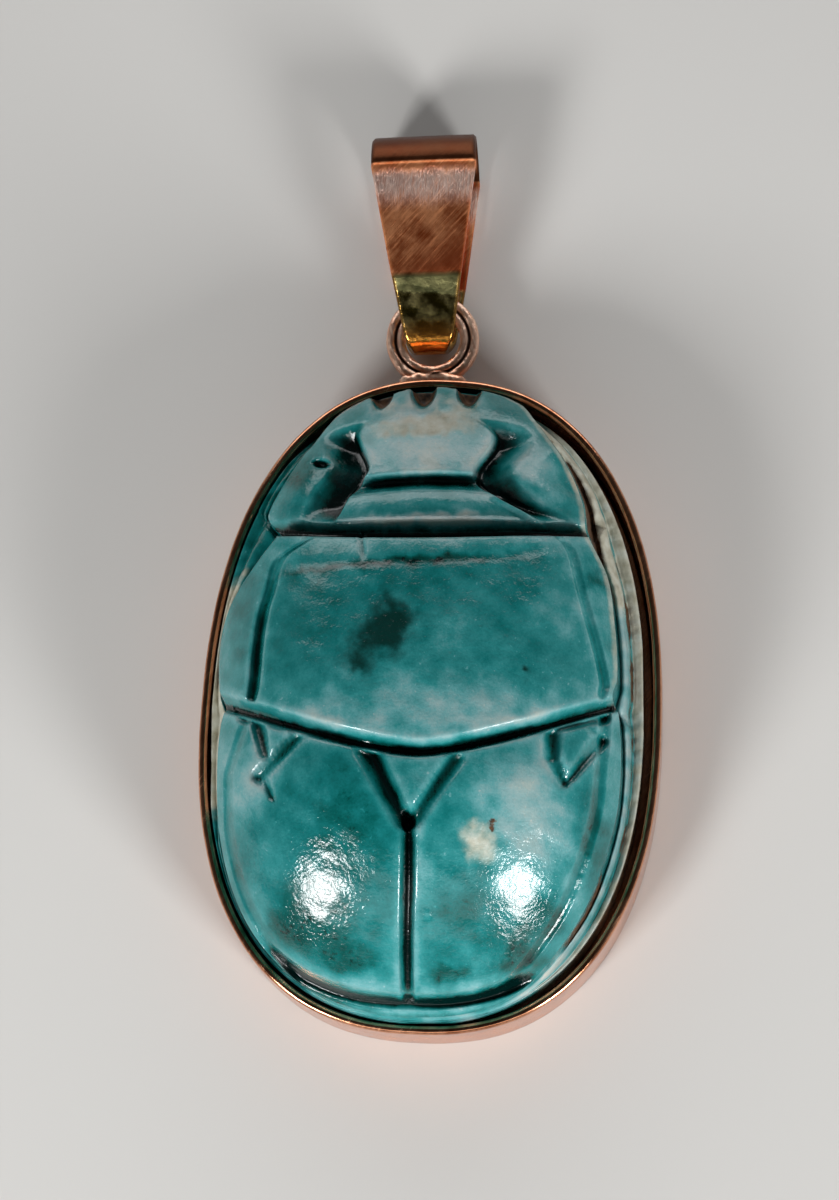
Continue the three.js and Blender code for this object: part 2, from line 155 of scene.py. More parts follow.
def along(*stations):
    """A smooth line through a few (y, x) stations, flat beyond its ends."""
    ys, xs = np.array(stations, float).T
    before, after = np.maximum(np.arange(len(ys)) - 1, 0), np.minimum(np.arange(len(ys)) + 1, len(ys) - 1)
    slope = (xs[after] - xs[before]) / (ys[after] - ys[before])

    def line(y):
        y = np.clip(y, ys[0], ys[-1])
        k = np.clip(np.searchsorted(ys, y, side="right") - 1, 0, len(ys) - 2)
        step = ys[k + 1] - ys[k]
        t = (y - ys[k]) / step
        t2, t3 = t * t, t * t * t
        return (xs[k] * (2 * t3 - 3 * t2 + 1) + slope[k] * step * (t3 - 2 * t2 + t)
                + xs[k + 1] * (3 * t2 - 2 * t3) + slope[k + 1] * step * (t3 - t2))
    return line


def groove(d, below, above=None):
    """A rounded groove round d = 0: 1 at its bottom, 0 beyond a half width on each side."""
    above = below if above is None else above
    t = np.clip(1 - np.abs(d) / np.where(d < 0, below, above), 0, 1)
    return 0.55 * (1 - (1 - t) ** 2.4) + 0.45 * t * t * (3 - 2 * t)


def uneven(x, y, size, seed):
    """Gentle unevenness of about -1 to 1 with hollows of the given size."""
    draw = np.random.default_rng(seed)
    total = np.zeros(np.broadcast(x, y).shape)
    for _ in range(6):
        turn, phase = draw.uniform(0, 2 * math.pi, 2)
        pace = 2 * math.pi / (size * draw.uniform(0.8, 1.9))
        total += np.sin(pace * (x * math.cos(turn) + y * math.sin(turn)) + phase)
    return total / 3.2


def to_stroke(x, y, p, q):
    """Distance to the straight stroke from p to q, and the share of the way along it."""
    (px, py), (qx, qy) = p, q
    length2 = (qx - px) ** 2 + (qy - py) ** 2
    share = np.clip(((x - px) * (qx - px) + (y - py) * (qy - py)) / length2, 0, 1)
    return np.hypot(x - px - share * (qx - px), y - py - share * (qy - py)), share


# %% [markdown]
# ## The beetle's guide lines
#
# A scarab carver first scribes the lines: the midline, the edges of the thorax and wing cases, the neck and
# the tail. The mesh is laid out on the same lines, so that every groove has rows of points exactly along
# its lips and its bottom. A plain square grid would need many more points to show an edge as crisp.

# %% The stone's own oval
TILT = math.sin(TURN)
STONE_A, STONE_B = OVAL_A - WALL_THICK - GAP, OVAL_B - WALL_THICK - END_GAP


def stone_half(y):
    t = np.clip(np.abs(y) / STONE_B, 0, 0.9999)
    return STONE_A * (1 - t ** FULLNESS) ** (1 / FULLNESS) * (1 - TAPER * y / STONE_B)


def oval_x(side, y):
    x = 0.0
    for _ in range(4):
        x = STONE_SHIFT - y * TILT + side * stone_half(y - x * TILT)
    return x


def oval_y(end, x):
    y = end * STONE_B
    for _ in range(4):
        across = x - STONE_SHIFT + y * TILT
        t = np.clip(np.abs(across) / (STONE_A * (1 - end * TAPER)), 0, 0.95)
        y = end * STONE_B * (1 - t ** FULLNESS) ** (1 / FULLNESS) + across * TILT
    return y


def stone_point(angle):
    side = soft(np.abs(np.cos(angle)), 0, 0.6)
    inset = (WALL_THICK + mixed(END_GAP, GAP, side))[..., None]
    return oval_point(angle, inset) + np.stack([STONE_SHIFT * side, np.zeros_like(side)], -1)


# %% Lines from tail to head, and across
inset_left = along((-16, 0.4), (-13.3, 0.25), (-9.2, 0.45), (-5, 0.78), (-2, 1.0), (-1, 1.2), (0.1, 0.76),
                   (2.9, 0.45), (4.9, 0.77), (7.4, 2.14), (8.5, 2.64), (9.3, 1.76), (10, 1.25), (12, 1.28),
                   (14, 1.38), (15.4, 0.95), (16.2, 0.55))
inset_right = along((-16, 0.7), (-14.1, 0.85), (-12, 0.82), (-9.4, 0.85), (-6.2, 0.85), (-1.7, 1.25),
                    (-0.8, 1.58), (0.2, 1.35), (3.6, 1.4), (5.9, 1.48), (7.9, 2.02), (8.7, 2.06),
                    (9.9, 1.77), (11.4, 1.63), (12.8, 1.56), (14, 1.5), (15.2, 1.2), (16.2, 0.65))
midline = along((-17.6, -1.15), (-8, -0.62), (8, -0.4), (17.5, -0.3))
valley_left = along((-4.8, -10.6), (-0.8, -9.25), (1.7, -9.0), (3.7, -8.75), (5.1, -8.35), (6.9, -7.8),
                    (7.9, -6.2), (8.8, -5.2), (10.6, -4.3), (12.2, -3.35), (14.4, -4.0), (15.8, -2.75),
                    (17.6, -2.6))
valley_right = along((-4.8, 9.45), (-0.5, 9.55), (1.1, 9.3), (2.7, 8.9), (5.0, 8.3), (7.2, 7.75), (8.0, 7.0),
                     (9.0, 6.2), (10.2, 4.2), (11.6, 2.95), (14.0, 4.0), (15.7, 2.35), (17.6, 2.2))


def edge_left(y):
    return oval_x(-1, y) + inset_left(y)


def edge_right(y):
    return oval_x(1, y) - inset_right(y)


def groove_left(y):
    return np.maximum(valley_left(y), edge_left(y) + 0.6)


def groove_right(y):
    return np.minimum(valley_right(y), edge_right(y) - mixed(1.1, 0.6, soft(y, -5, -1)))


def bow(middle, left_rise, right_rise, reach, power):
    return lambda x: middle + np.where(x < 0, left_rise, right_rise) * (np.abs(x) / reach) ** power


thorax_rear = bow(-3.95, 3.35, 3.2, 10.2, 1.5)
wing_front = bow(-4.8, 3.15, 3.25, 10.2, 1.6)
thorax_front = bow(7.5, 0.75, 0.45, 8, 2)
neck_front = bow(8.85, 1.1, 0.1, 8.5, 4)
BAND_FRONT, ARCH_Y, PLATE_REAR, NOTCH_REAR = 10.65, 11.35, 11.8, 15.75


def tail_edge(x):
    return oval_y(-1, x) + 0.3


def tail_groove(x):
    return tail_edge(x) + 0.65 - 0.003 * x * x


def head_front(x):
    return oval_y(1, x) - 0.3


# %% [markdown]
# ## The height of the carved back
#
# The back is a low dome, highest just behind the thorax, and every feature is cut down from it: the midline
# and the tail groove, the seam behind the thorax, the deep scoops beside the head and the notches of the
# digging plate. A sculpting brush would do as well on screen, but a height that is worked out can be
# checked against the solid.

# %% The uncarved dome
def crown(y):
    rear = np.clip((RIDGE_Y - y) / (RIDGE_Y - TAIL_END), 0, 1)
    front = np.clip((y - RIDGE_Y) / (HEAD_END - RIDGE_Y), 0, 1)
    full = np.where(y < RIDGE_Y, (1 - rear ** 1.9) ** 0.85, (1 - front ** 1.7) ** 0.7)
    return EDGE_Z + (TOP_Z - EDGE_Z) * full


def dome(x, y):
    mid = midline(y)
    lean = STONE_SHIFT - y * TILT
    half = stone_half(y) + np.where(x < mid, mid - lean, lean - mid)
    s = np.clip(np.abs(x - mid) / half, 0, 1)
    return EDGE_Z + (crown(y) - EDGE_Z) * (1 - s ** 2.3) ** 0.6


# %% [markdown]
# ### Marks on the shoulders
#
# A few straight strokes of a graver stand for the shoulders of the folded wings: a hook on each side, and
# two strokes that make a triangle where the wing cases part. Each stroke may widen along its way. Painted
# on, they would vanish from the side, so they're cut as grooves like the rest.

# %% The strokes
# Each mark is (from, to, half width at its start, half width at its end, depth).
MARKS = [
    ((-2.8, -4.3), (-0.9, -8.1), 0.8, 0.54, 0.95),
    ((1.85, -4.9), (-0.35, -8.1), 0.54, 0.46, 0.62),
    ((-8.85, -2.3), (-8.45, -4.1), 0.56, 0.36, 0.62),
    ((-5.9, -2.7), (-8.7, -5.3), 0.46, 0.54, 0.62),
    ((-8.5, -5.3), (-8.0, -6.6), 0.34, 0.2, 0.36),
    ((6.85, -3.3), (6.85, -4.6), 0.6, 0.5, 0.62),
    ((6.85, -4.6), (7.5, -5.9), 0.5, 0.3, 0.5),
    ((9.4, -3.3), (7.8, -5.6), 0.46, 0.28, 0.46),
    ((6.6, -3.15), (9.5, -1.95), 0.3, 0.5, 0.5),
    ((-7.4, -2.75), (-9.7, -1.75), 0.25, 0.5, 0.45),
    ((8.3, -2.2), (9.4, -3.2), 0.22, 0.3, 0.2),
]


def marks_depth(x, y):
    depth = np.zeros_like(x)
    for p, q, wide_p, wide_q, deep in MARKS:
        d, share = to_stroke(x, y, p, q)
        depth = np.maximum(depth, deep * groove(d, mixed(wide_p, wide_q, share)))
    return depth


# %% [markdown]
# ### Wing cases and thorax
#
# One straight saw cut parts the wing cases, a deep one closes them off from the tail, and a wide seam with
# soft lips divides them from the thorax. Fainter lines run down both sides.

# %% Wing cases and thorax
MIDLINE_DEEP, TAIL_DEEP, SEAM_DEEP = 0.85, 1.25, 0.85


def cut_body(x, y, z):
    left, right, rear = x - groove_left(y), x - groove_right(y), y - tail_groove(x)
    on_wings = soft(wing_front(x) - y, -0.05, 0.05)
    on_thorax = soft(y - thorax_rear(x), -0.05, 0.1) * soft(thorax_front(x) - y, -0.05, 0.1)
    past_tail = soft(rear, 0, 0.35)
    mid = x - midline(y) - 0.05 * uneven(np.zeros_like(y), y, 4, 3)
    below_apex = soft(-7.2 - y, 0, 0.8)
    z -= on_wings * past_tail * below_apex * MIDLINE_DEEP * groove(mid, 0.42)
    z -= on_wings * past_tail * (0.16 * groove(left, 0.3, 0.4) + 0.26 * groove(right, 0.3, 0.42))
    at_tail = 1 - soft(np.abs(x + 1.5), 6.0, 7.8)
    z -= TAIL_DEEP * at_tail * groove(rear, 0.5, 0.42)
    crescent = PLINTH_Z + 0.75 + 0.7 * soft(rear, -0.9, -0.3) + 3.0 * (1 - at_tail)
    z = np.where(rear < 0, np.minimum(z, crescent), z)
    seam = (thorax_rear(x) + wing_front(x)) / 2
    seam_half = (thorax_rear(x) - wing_front(x)) / 2 + 0.06
    z -= SEAM_DEEP * groove(y - seam, seam_half)
    z -= np.where(y < seam, 0.25 * soft(y, seam - 3, seam), 0)
    z -= on_thorax * (mixed(0.6, 0.26, soft(y, 2, 7)) * groove(left, 0.34, 0.42)
                      + mixed(0.34, 0.2, soft(y, 0, 6)) * groove(right, 0.22, 0.4))
    # A faint line just inside the thorax's front edge, and a nick across it.
    faint = y - (6.2 + 0.018 * (x + 0.5) ** 2 * np.where(x > 0, 1, 0.3))
    z -= on_thorax * 0.045 * groove(faint, 0.5, 0.35) * soft(8.0 - np.abs(x), 0, 1)
    nick, _ = to_stroke(x, y, (-3.35, 8.0), (-3.2, 6.6))
    z -= 0.2 * groove(nick, 0.2)
    return z - on_wings * marks_depth(x, y)


# %% [markdown]
# ### Head
#
# The head sits lower than the thorax. A groove across the neck sets it off, an arched groove divides the
# neck from the digging plate, and two scoops leave the cheeks standing. Three notches cut the plate's front
# into teeth, as on a real dung beetle.

# %% Head
NECK_DEEP, ARCH_DEEP, SCOOP_LEFT, SCOOP_RIGHT, NOTCH_DEEP = 0.75, 0.85, 1.5, 1.35, 2.1


def cut_head(x, y, z):
    front = thorax_front(x)
    ahead = soft(y - front, 0.0, 0.12)
    left, right = x - groove_left(y), x - groove_right(y)
    drop = 0.75 - 0.45 * soft(y, 9, 16)
    neck = y - mixed(front, neck_front(x), 0.4)
    drop = drop + NECK_DEEP * groove(neck, 0.5, 0.6)
    inner = soft(left, -0.05, 0.35) * soft(-right, -0.05, 0.35)
    drop = drop + inner * ARCH_DEEP * groove(y - ARCH_Y + 0.14 * (x / 3) ** 2, 0.75, 0.42)
    # The band across the neck bulges, with a shallow step in front of the thorax.
    drop = drop - inner * 0.16 * groove(y - 9.9, 0.95, 0.75)
    drop = drop - inner * 0.07 * groove(y - 8.75, 0.3)
    scoops = SCOOP_LEFT * groove(left, 2.0, 0.34) ** 1.25 + SCOOP_RIGHT * groove(right, 0.4, 1.9) ** 1.2
    drop = drop + window(y, 8.6, 10.2, 13.4, 15.2) * scoops
    # Cheeks swell between the scoops and the edge.
    cheeks = groove(left + 2.9, 1.6) + groove(right - 2.9, 1.5)
    drop = drop - 0.22 * window(y, 9.4, 11, 13, 14.5) * cheeks
    bite = soft(y, NOTCH_REAR - 0.15, 17.1)
    wide = 0.38 + 0.3 * bite
    notches = groove(left, wide) + groove(x - midline(y), wide + 0.08) + groove(right, wide + 0.05)
    drop = drop + NOTCH_DEEP * bite * notches
    # A slanting ridge on the right of the neck, and a burst bubble in the glaze of the left cheek.
    ridge, _ = to_stroke(x, y, (3.9, 10.2), (6.0, 8.9))
    drop = drop - 0.2 * groove(ridge, 0.4)
    pit = np.hypot((x + 5.8) / 0.55, (y - 12.6 + 0.2 * (x + 5.8)) / 0.3)
    drop = drop + 0.5 * soft(1.0 - pit, 0, 0.45)
    return z - ahead * drop


# %% [markdown]
# ### The whole back
#
# Body and head are cut from the same dome. A hand-held stone is never quite even, so two gentle wavinesses
# are added, and one small blob of glaze stands beside the midline. The back never drops to the plinth's own
# level.

# %% Whole back
def back(x, y):
    z = cut_head(x, y, cut_body(x, y, dome(x, y)))
    blob = np.hypot(x - 0.2, y + 12.8)
    z = z + 0.09 * groove(blob, 0.32)
    z = z + 0.035 * uneven(x, y, 3.2, 11) + 0.014 * uneven(x, y, 1.1, 12)
    return np.maximum(z, PLINTH_Z + 0.25)


# %% [markdown]
# ## Laying out the beetle's mesh
#
# Columns run between the guide lines from tail to head and rows between the lines across. Each crossing is
# found by going back and forth a few times: the row gives y at an x, the column gives x at a y.

# %% Columns and rows
def shifted(line, by):
    return lambda t: line(t) + by


def between(p, q, share):
    return lambda t: mixed(p(t), q(t), share)


def level(value):
    return lambda t: np.full_like(t, value)


# Each line with the number of steps to the next one.
COLUMNS = [(edge_left, 22), (shifted(groove_left, -0.3), 6), (groove_left, 7),
           (shifted(groove_left, 0.42), 50), (shifted(midline, -0.45), 8), (midline, 8),
           (shifted(midline, 0.45), 50), (shifted(groove_right, -0.35), 7), (groove_right, 7),
           (shifted(groove_right, 0.4), 24), (edge_right, 0)]
ROWS = [(tail_edge, 5), (shifted(tail_groove, -0.48), 5), (tail_groove, 5), (shifted(tail_groove, 0.42), 84),
        (shifted(wing_front, -0.06), 7), (between(wing_front, thorax_rear, 0.5), 7),
        (shifted(thorax_rear, 0.06), 66), (thorax_front, 5), (shifted(thorax_front, 0.14), 4),
        (between(thorax_front, neck_front, 0.4), 6), (neck_front, 16), (level(BAND_FRONT), 7),
        (level(ARCH_Y), 6), (level(PLATE_REAR), 34), (level(NOTCH_REAR), 16), (head_front, 0)]


def ticks(lines):
    """Every step as (line, share of the way to the next line)."""
    stepped = [(i, k / steps) for i, (_, steps) in enumerate(lines) for k in range(steps)]
    return stepped + [(len(lines) - 1, 0.0)]


def on_lines(lines, tick, at):
    i, share = tick
    here = lines[i][0](at)
    return here if share == 0 else mixed(here, lines[i + 1][0](at), share)


# %% Crossings
column_ticks, row_ticks = ticks(COLUMNS), ticks(ROWS)
across, up = len(column_ticks), len(row_ticks)
grid_x, grid_y = np.zeros((up, across)), np.zeros((up, across))
for _ in range(16):
    for j, tick in enumerate(row_ticks):
        grid_y[j] = mixed(grid_y[j], on_lines(ROWS, tick, grid_x[j]), 0.8)
    for i, tick in enumerate(column_ticks):
        grid_x[:, i] = mixed(grid_x[:, i], on_lines(COLUMNS, tick, grid_y[:, i]), 0.8)
grid_z = back(grid_x, grid_y)
print("back:", across, "by", up, "points, height", grid_z.min().round(2), "to", grid_z.max().round(2))

# %% [markdown]
# ## Flanks and underside
#
# Below the back's edge the flank drops to a crevice, swells over the folded legs, drops again and ends in a
# flat plinth that the bezel grips. It's one profile, given as how far out and how high, and it goes once
# round. The underside can only be seen through the open back of the setting, so it stays plain: flat,
# slightly worn at its corner, with one scribed border line.

# %% The flank's profile
# Each station is (step, share of the way out, share of the back's height kept, height added in mm).
FLANK = np.array([
    (0, 0.0, 1.0, 0.0), (2, 0.035, 0.97, 0.02), (6, 0.13, 0.7, 0.0), (10, 0.24, 0.28, -0.02),
    (12, 0.3, 0.28, 0.02), (15, 0.42, 0.28, 0.32), (18, 0.56, 0.25, 0.3), (20, 0.66, 0.2, 0.02),
    (22, 0.735, 0.02, -0.14), (24, 0.8, 0.0, -0.06), (27, 0.93, 0.0, 0.0), (30, 0.99, 0.0, -0.04),
    (31, 1.0, 0.0, -0.16), (34, 1.0, 0.0, -2.6), (36, 0.992, 0.0, -2.94), (37, 0.98, 0.0, -3.0)])
FLANK_END = int(FLANK[-1, 0])
flank_steps = np.arange(FLANK_END + 1)
flank_out, flank_keep, flank_add = (along(*FLANK[:, [0, c]])(flank_steps) for c in (1, 2, 3))

# Once round the edge of the back, anticlockwise from the tail's left corner, as numbers of grid points.
number = np.arange(up * across).reshape(up, across)
rim = np.concatenate([number[0, :-1], number[:-1, -1], number[-1, :0:-1], number[:0:-1, 0]])
rim_x, rim_y, rim_z = (a.ravel()[rim] for a in (grid_x, grid_y, grid_z))
rim_angle = np.arctan2(rim_y / OVAL_B, (rim_x + rim_y * TILT) / OVAL_A) - TURN / 2
plinth = stone_point(rim_angle)
rim_side = soft(np.abs(rim_x), 5.0, 9.0)
rim_front = soft(rim_y, 12, 15.5)
plinth_lift = 0.5 * soft(-rim_y, 13.0, 15.0) * (1 - rim_side) + 0.25 * soft(-rim_x, 6, 9) * (1 - rim_front)
plain_drop = np.interp(flank_out, [0, 0.8, 1], [1, 0.06, 0])

# All along the right, and beside the seam on the left, the leg is narrow and the plinth wide.
crowding = 1 + 0.95 * soft(rim_x, 5, 8) * window(rim_y, -16.5, -13, 6.2, 8.6)
crowding = crowding + 0.9 * soft(-rim_x, 6, 9) * window(rim_y, -8, -5.5, 1, 4)

flank = []
for out, keep, add, plain in zip(flank_out[1:], flank_keep[1:], flank_add[1:], plain_drop[1:]):
    reach = out ** crowding
    x, y = mixed(rim_x, plinth[:, 0], reach), mixed(rim_y, plinth[:, 1], reach)
    rough = 0.07 * out * (1 - out) * 4 * (uneven(x, y, 1.6, 21) + 0.6 * uneven(x, y, 0.7, 22))
    z = PLINTH_Z + (rim_z - PLINTH_Z) * mixed(plain, keep, rim_side)
    z = z + np.where(out < 0.8, add * rim_side, add)
    z = z + rough * np.maximum(rim_side, 0.3) - 0.9 * rim_front * soft(out, 0.2, 0.9)
    z = z + plinth_lift * soft(out, 0.3, 0.9) * soft(z, 2.6, 3.4)
    flank.append(np.stack([x, y, z], -1))
flank = np.array(flank)
flank[-1, :, 2] = BASE_Z
flank[..., 2] = np.maximum(flank[..., 2], BASE_Z)

# %% The underside's rings and the whole body
# Each ring is (its size beside the plinth's, how deep it's cut in).
UNDER = [(0.93, 0), (0.88, 0), (0.872, 0.06), (0.862, 0.1), (0.852, 0.06), (0.844, 0), (0.7, 0), (0.5, 0),
         (0.25, 0)]
under = []
for size, deep in UNDER:
    ring = flank[-1] * np.array([size, size, 1])
    ring[:, 2] = BASE_Z + deep + 0.02 * (1 - size) * (1 + uneven(ring[:, 0], ring[:, 1], 2.5, 23))
    under.append(ring)
under = np.array(under)
rings = np.concatenate([flank, under])
body_points = np.concatenate([np.stack([grid_x, grid_y, grid_z], -1).reshape(-1, 3), rings.reshape(-1, 3),
                              [[0.0, 0.0, BASE_Z + 0.02]]])
count = len(rim)
print("body:", len(body_points), "points,", count, "round the edge")


# %% [markdown]
# ## From points to a mesh
#
# Every piece that's worked out as rows of points becomes a mesh in the same way: squares between
# neighbouring rows, smooth shading, and any per-point values kept as attributes for the material to read.

# %% Mesh helpers
def squares(rows, closed=True):
    """Squares between rows of point numbers; rows run so that the outside is on the viewer's side."""
    here, after = (rows, np.roll(rows, -1, 1)) if closed else (rows[:, :-1], rows[:, 1:])
    return np.stack([here[:-1], here[1:], after[1:], after[:-1]], -1).reshape(-1, 4)


def fan(ring, tip):
    """Triangles from a closed ring of point numbers to one more point."""
    return np.stack([ring, np.full(len(ring), tip), np.roll(ring, -1)], -1)


def linked(name, data):
    """A new object in the scene."""
    obj = bpy.data.objects.new(name, data)
    bpy.context.scene.collection.objects.link(obj)
    return obj


def build(name, points, quads, triangles=(), values=None):
    """An object from points in millimetres round the bezel's centre."""
    faces = [tuple(face) for group in (quads, triangles) for face in np.asarray(group).tolist()]
    mesh = bpy.data.meshes.new(name)
    mesh.from_pydata([tuple(p) for p in place(points).tolist()], [], faces)
    for key, value in (values or {}).items():
        mesh.attributes.new(key, "FLOAT", "POINT").data.foreach_set("value", np.asarray(value, np.float32))
    mesh.shade_smooth()
    mesh.validate()
    return linked(name, mesh)


# %% [markdown]
# ## How the glaze lies
#
# Turquoise glaze runs when it's fired: it thins to a pale blue-grey on ridges, pools nearly black in
# grooves, and leaves the stone bare where it was handled. So the material needs to know how thick the glaze
# is at each point. The heights give it: a point below its surroundings is in a groove, a point above them
# is on an edge. A handful of soft patches adds what the kiln did by chance, and two of them paint shade into
# the scoops beside the head.

# %% Heights against their surroundings
RASTER = 0.09
raster_x, raster_y = np.arange(-13, 13, RASTER), np.arange(-19, 19, RASTER)
heights = back(*np.meshgrid(raster_x, raster_y))


def blurred(field, reach):
    """The field with each value averaged over its surroundings, in one direction and then the other."""
    k = np.arange(-int(3 * reach / RASTER), int(3 * reach / RASTER) + 1) * RASTER
    weights = np.exp(-k * k / (2 * reach * reach))
    weights /= weights.sum()
    for axis in (0, 1):
        pad = [(len(k) // 2,) * 2 if a == axis else (0, 0) for a in (0, 1)]
        wide = np.pad(field, pad, mode="edge")
        field = sum(w * (wide[i:i + field.shape[0]] if axis == 0 else wide[:, i:i + field.shape[1]])
                    for i, w in enumerate(weights))
    return field


def sample(field, x, y):
    """The field at points, straight between its four nearest values."""
    u = np.clip((x - raster_x[0]) / RASTER, 0, len(raster_x) - 1.001)
    v = np.clip((y - raster_y[0]) / RASTER, 0, len(raster_y) - 1.001)
    i, j = u.astype(int), v.astype(int)
    low, high = (mixed(field[row, i], field[row, i + 1], u - i) for row in (j, j + 1))
    return mixed(low, high, v - j)


bx, by, bz = body_points.T
fine = sample(heights - blurred(heights, 0.28), bx, by)
broad = sample(heights - blurred(heights, 0.9), bx, by)
for label, relief in (("fine", fine), ("broad", broad)):
    print(label, "relief from", relief.min().round(2), "to", relief.max().round(2))

# %% Patches of thicker and thinner glaze, and painted shade in the scoops
# Each patch is (x, y, reach across, reach along, turn in degrees, amount). Above 0 the glaze is thicker.
PATCHES = [(-6.6, 3.1, 2.2, 2.8, 0, 0.07), (2.1, 1.6, 1.9, 1.6, 0, -0.08), (6.8, 3.0, 1.8, 1.4, 0, -0.12),
           (-10.1, 2.4, 0.7, 2.6, 0, 0.04), (0.8, -1.9, 6.0, 1.6, 0, -0.27),
           (-1.5, 6.15, 6.5, 0.32, 3, 0.36), (-1.0, 5.2, 7.0, 1.6, 3, 0.06),
           (-9.4, -5.9, 1.1, 2.0, -10, -0.32), (-5.9, -12.9, 3.2, 2.6, -30, 0.18),
           (-6.7, -13.7, 1.9, 1.2, -30, 0.1), (-3.8, -15.0, 1.1, 0.8, 0, 0.27),
           (-8.0, -13.1, 0.8, 1.2, 20, 0.1), (5.6, -7.9, 2.6, 3.0, 0, -0.32),
           (4.6, -6.0, 2.6, 1.0, 20, -0.1), (2.5, -12.3, 1.3, 1.5, 0, 0.14),
           (6.1, -13.1, 1.5, 1.4, 0, 0.16), (1.3, -15.6, 0.9, 0.6, 0, 0.36),
           (4.7, -15.0, 1.3, 0.7, 25, 0.36), (7.0, -12.6, 0.6, 0.9, 0, 0.2),
           (0.2, -10.1, 0.4, 1.4, 0, -0.16), (0.2, 13.0, 3.2, 1.4, 0, -0.42),
           (-0.5, 15.4, 3.4, 1.1, 0, -0.24), (5.9, 11.6, 1.4, 2.6, 25, -0.2),
           (-6.6, 12.2, 1.4, 1.8, -25, 0.26), (0.0, 9.9, 4.3, 0.6, 0, -0.06),
           (0.3, 8.75, 4.2, 0.4, 0, -0.42), (3.4, -2.9, 3.0, 0.6, 5, -0.14),
           (-4.2, -3.4, 3.2, 0.4, -6, -0.16), (9.0, -8.2, 0.8, 2.4, 5, 0.12),
           (-3.2, -9.2, 3.0, 4.0, 0, 0.1), (3.4, -13.4, 3.0, 2.4, 0, 0.08),
           # The next two patches, in the scoops beside the head, are painted shade: thicker glaze there
           # darkens the scoops where shadow falls.
           (-4.55, 12.1, 0.8, 2.6, -12, 0.42), (4.6, 10.8, 0.9, 1.9, 42, 0.3),
           (-10.0, -9.0, 1.1, 3.4, -6, 0.16), (8.9, -8.6, 1.0, 3.4, 6, 0.18),
           (-0.8, -17.3, 5.6, 0.55, 0, -0.22), (-9.8, 4.6, 0.8, 3.0, 0, 0.14),
           (-3.5, -7.2, 3.0, 3.0, 0, 0.1), (9.3, 5.6, 0.8, 0.5, 0, 0.3), (-4.5, -2.6, 2.5, 0.35, -8, -0.12),
           (9.0, 4.6, 1.0, 2.0, 0, -0.12)]


def patch_sum(x, y, patches):
    total = np.zeros_like(x)
    for px, py, reach_x, reach_y, turn, amount in patches:
        c, s = math.cos(math.radians(turn)), math.sin(math.radians(turn))
        u, v = ((x - px) * c + (y - py) * s) / reach_x, (-(x - px) * s + (y - py) * c) / reach_y
        total += amount * np.exp(-(u * u + v * v) ** 1.3)
    return total


wx = bx + 0.28 * uneven(bx, by, 1.5, 31) + 0.1 * uneven(bx, by, 0.5, 32)
wy = by + 0.28 * uneven(bx, by, 1.5, 33) + 0.1 * uneven(bx, by, 0.5, 34)
on_back = np.arange(len(body_points)) < up * across
thick = 0.5 + patch_sum(wx, wy, PATCHES) + 0.05 * uneven(bx, by, 3.5, 35) + 0.045 * uneven(bx, by, 1.2, 36)
thick = thick + 1.9 * np.clip(-fine - 0.09, 0, 0.3) + 0.75 * np.clip(-broad - 0.08, 0, 0.5)
thick = thick - 1.1 * np.clip(fine - 0.01, 0, 0.12) - 0.25 * np.clip(broad - 0.05, 0, 0.3)
print("glaze on the back:", np.percentile(thick[on_back], (2, 25, 50, 75, 98)).round(2))

# %% [markdown]
# ### Stains, bare stone and dirt
#
# A dark stain lies on the thorax, and the glaze has worn through where fingers rub. On the flanks the right
# side shows bare stone along the head and a pale blue leg beside the thorax. The left is mostly glazed,
# with a bare plinth beside the seam, and the tail is glazed all over. The crevices and the notches are
# painted dark brown: soil together with painted shade, darker the lower a notch's floor lies.

# %% Stains, bare stone, dirt and painted shade
# These are patches too: how dark, how bare or how dirty it is there.
STAINS = [(-1.7, 2.3, 1.25, 1.5, 10, 0.9), (-3.2, 1.3, 1.1, 1.4, -20, 0.5), (-3.3, 0.2, 0.9, 0.6, 0, 0.5),
          (-0.5, 3.0, 0.9, 0.7, 30, 0.3), (-1.75, 4.1, 0.5, 0.9, 10, 0.4), (5.6, -0.2, 0.32, 0.26, 0, 1.0)]
WORN = [(3.1, -9.2, 1.15, 1.15, 0, 0.72), (-0.1, 14.7, 3.2, 0.75, 2, 0.9), (1.5, 15.8, 1.2, 0.6, 0, 0.6),
        (-1.9, 15.9, 1.0, 0.5, 0, 0.4), (8.2, 12.5, 0.35, 1.4, 15, 0.9), (0.4, 13.2, 1.6, 0.5, 0, 0.3)]
SOILED = [(3.75, -8.2, 0.4, 0.3, 0, 0.62)]
stain, bare, dirt = (patch_sum(wx, wy, spots) for spots in (STAINS, WORN, SOILED))

# How far down the flank's profile a point is: 0 on the back, and past FLANK_END on the underside.
step = np.concatenate([np.zeros(up * across), np.repeat(np.arange(len(rings)) + 1, count), [len(rings) + 1]])
low_side = step >= 1
sideways = soft(np.abs(bx), 5.5, 9.0)
right_side = soft(bx, 2, 7)
legs = window(step, 9, 13, 19, 21.5)
plinth_part = soft(step, mixed(13, 21.5, right_side), mixed(17, 24, right_side))
beside_head = soft(by, 3.2, 6.5) * right_side
beside_seam = window(by, -8, -5, 6, 8)
blotchy = uneven(bx, by, 1.1, 42)

leg_glaze = mixed(mixed(0.55, 0.16, right_side), 0.62, soft(by, 7, 10) * (1 - right_side))
flank_glaze = (mixed(0.52, leg_glaze, np.maximum(legs, plinth_part))
               + mixed(0.1, -0.18, soft(-by, 12, 14)) * (1 - sideways) + 0.1 * blotchy)
thick = np.where(low_side, flank_glaze, thick)

plinth_bare = mixed(beside_seam, soft(by, -17.2, -14.5), right_side)
plinth_bare = plinth_bare * mixed(sideways, soft(bx, 2.5, 5.5), soft(-by, 11, 13))
flank_bare = (plinth_part * plinth_bare * (1.0 + 0.4 * uneven(bx, by, 4, 44))
              + (legs + 0.3 * soft(step, 4, 9)) * beside_head * 1.2 + 0.22 * blotchy - 0.08)
bare = np.where(low_side, flank_bare, bare)
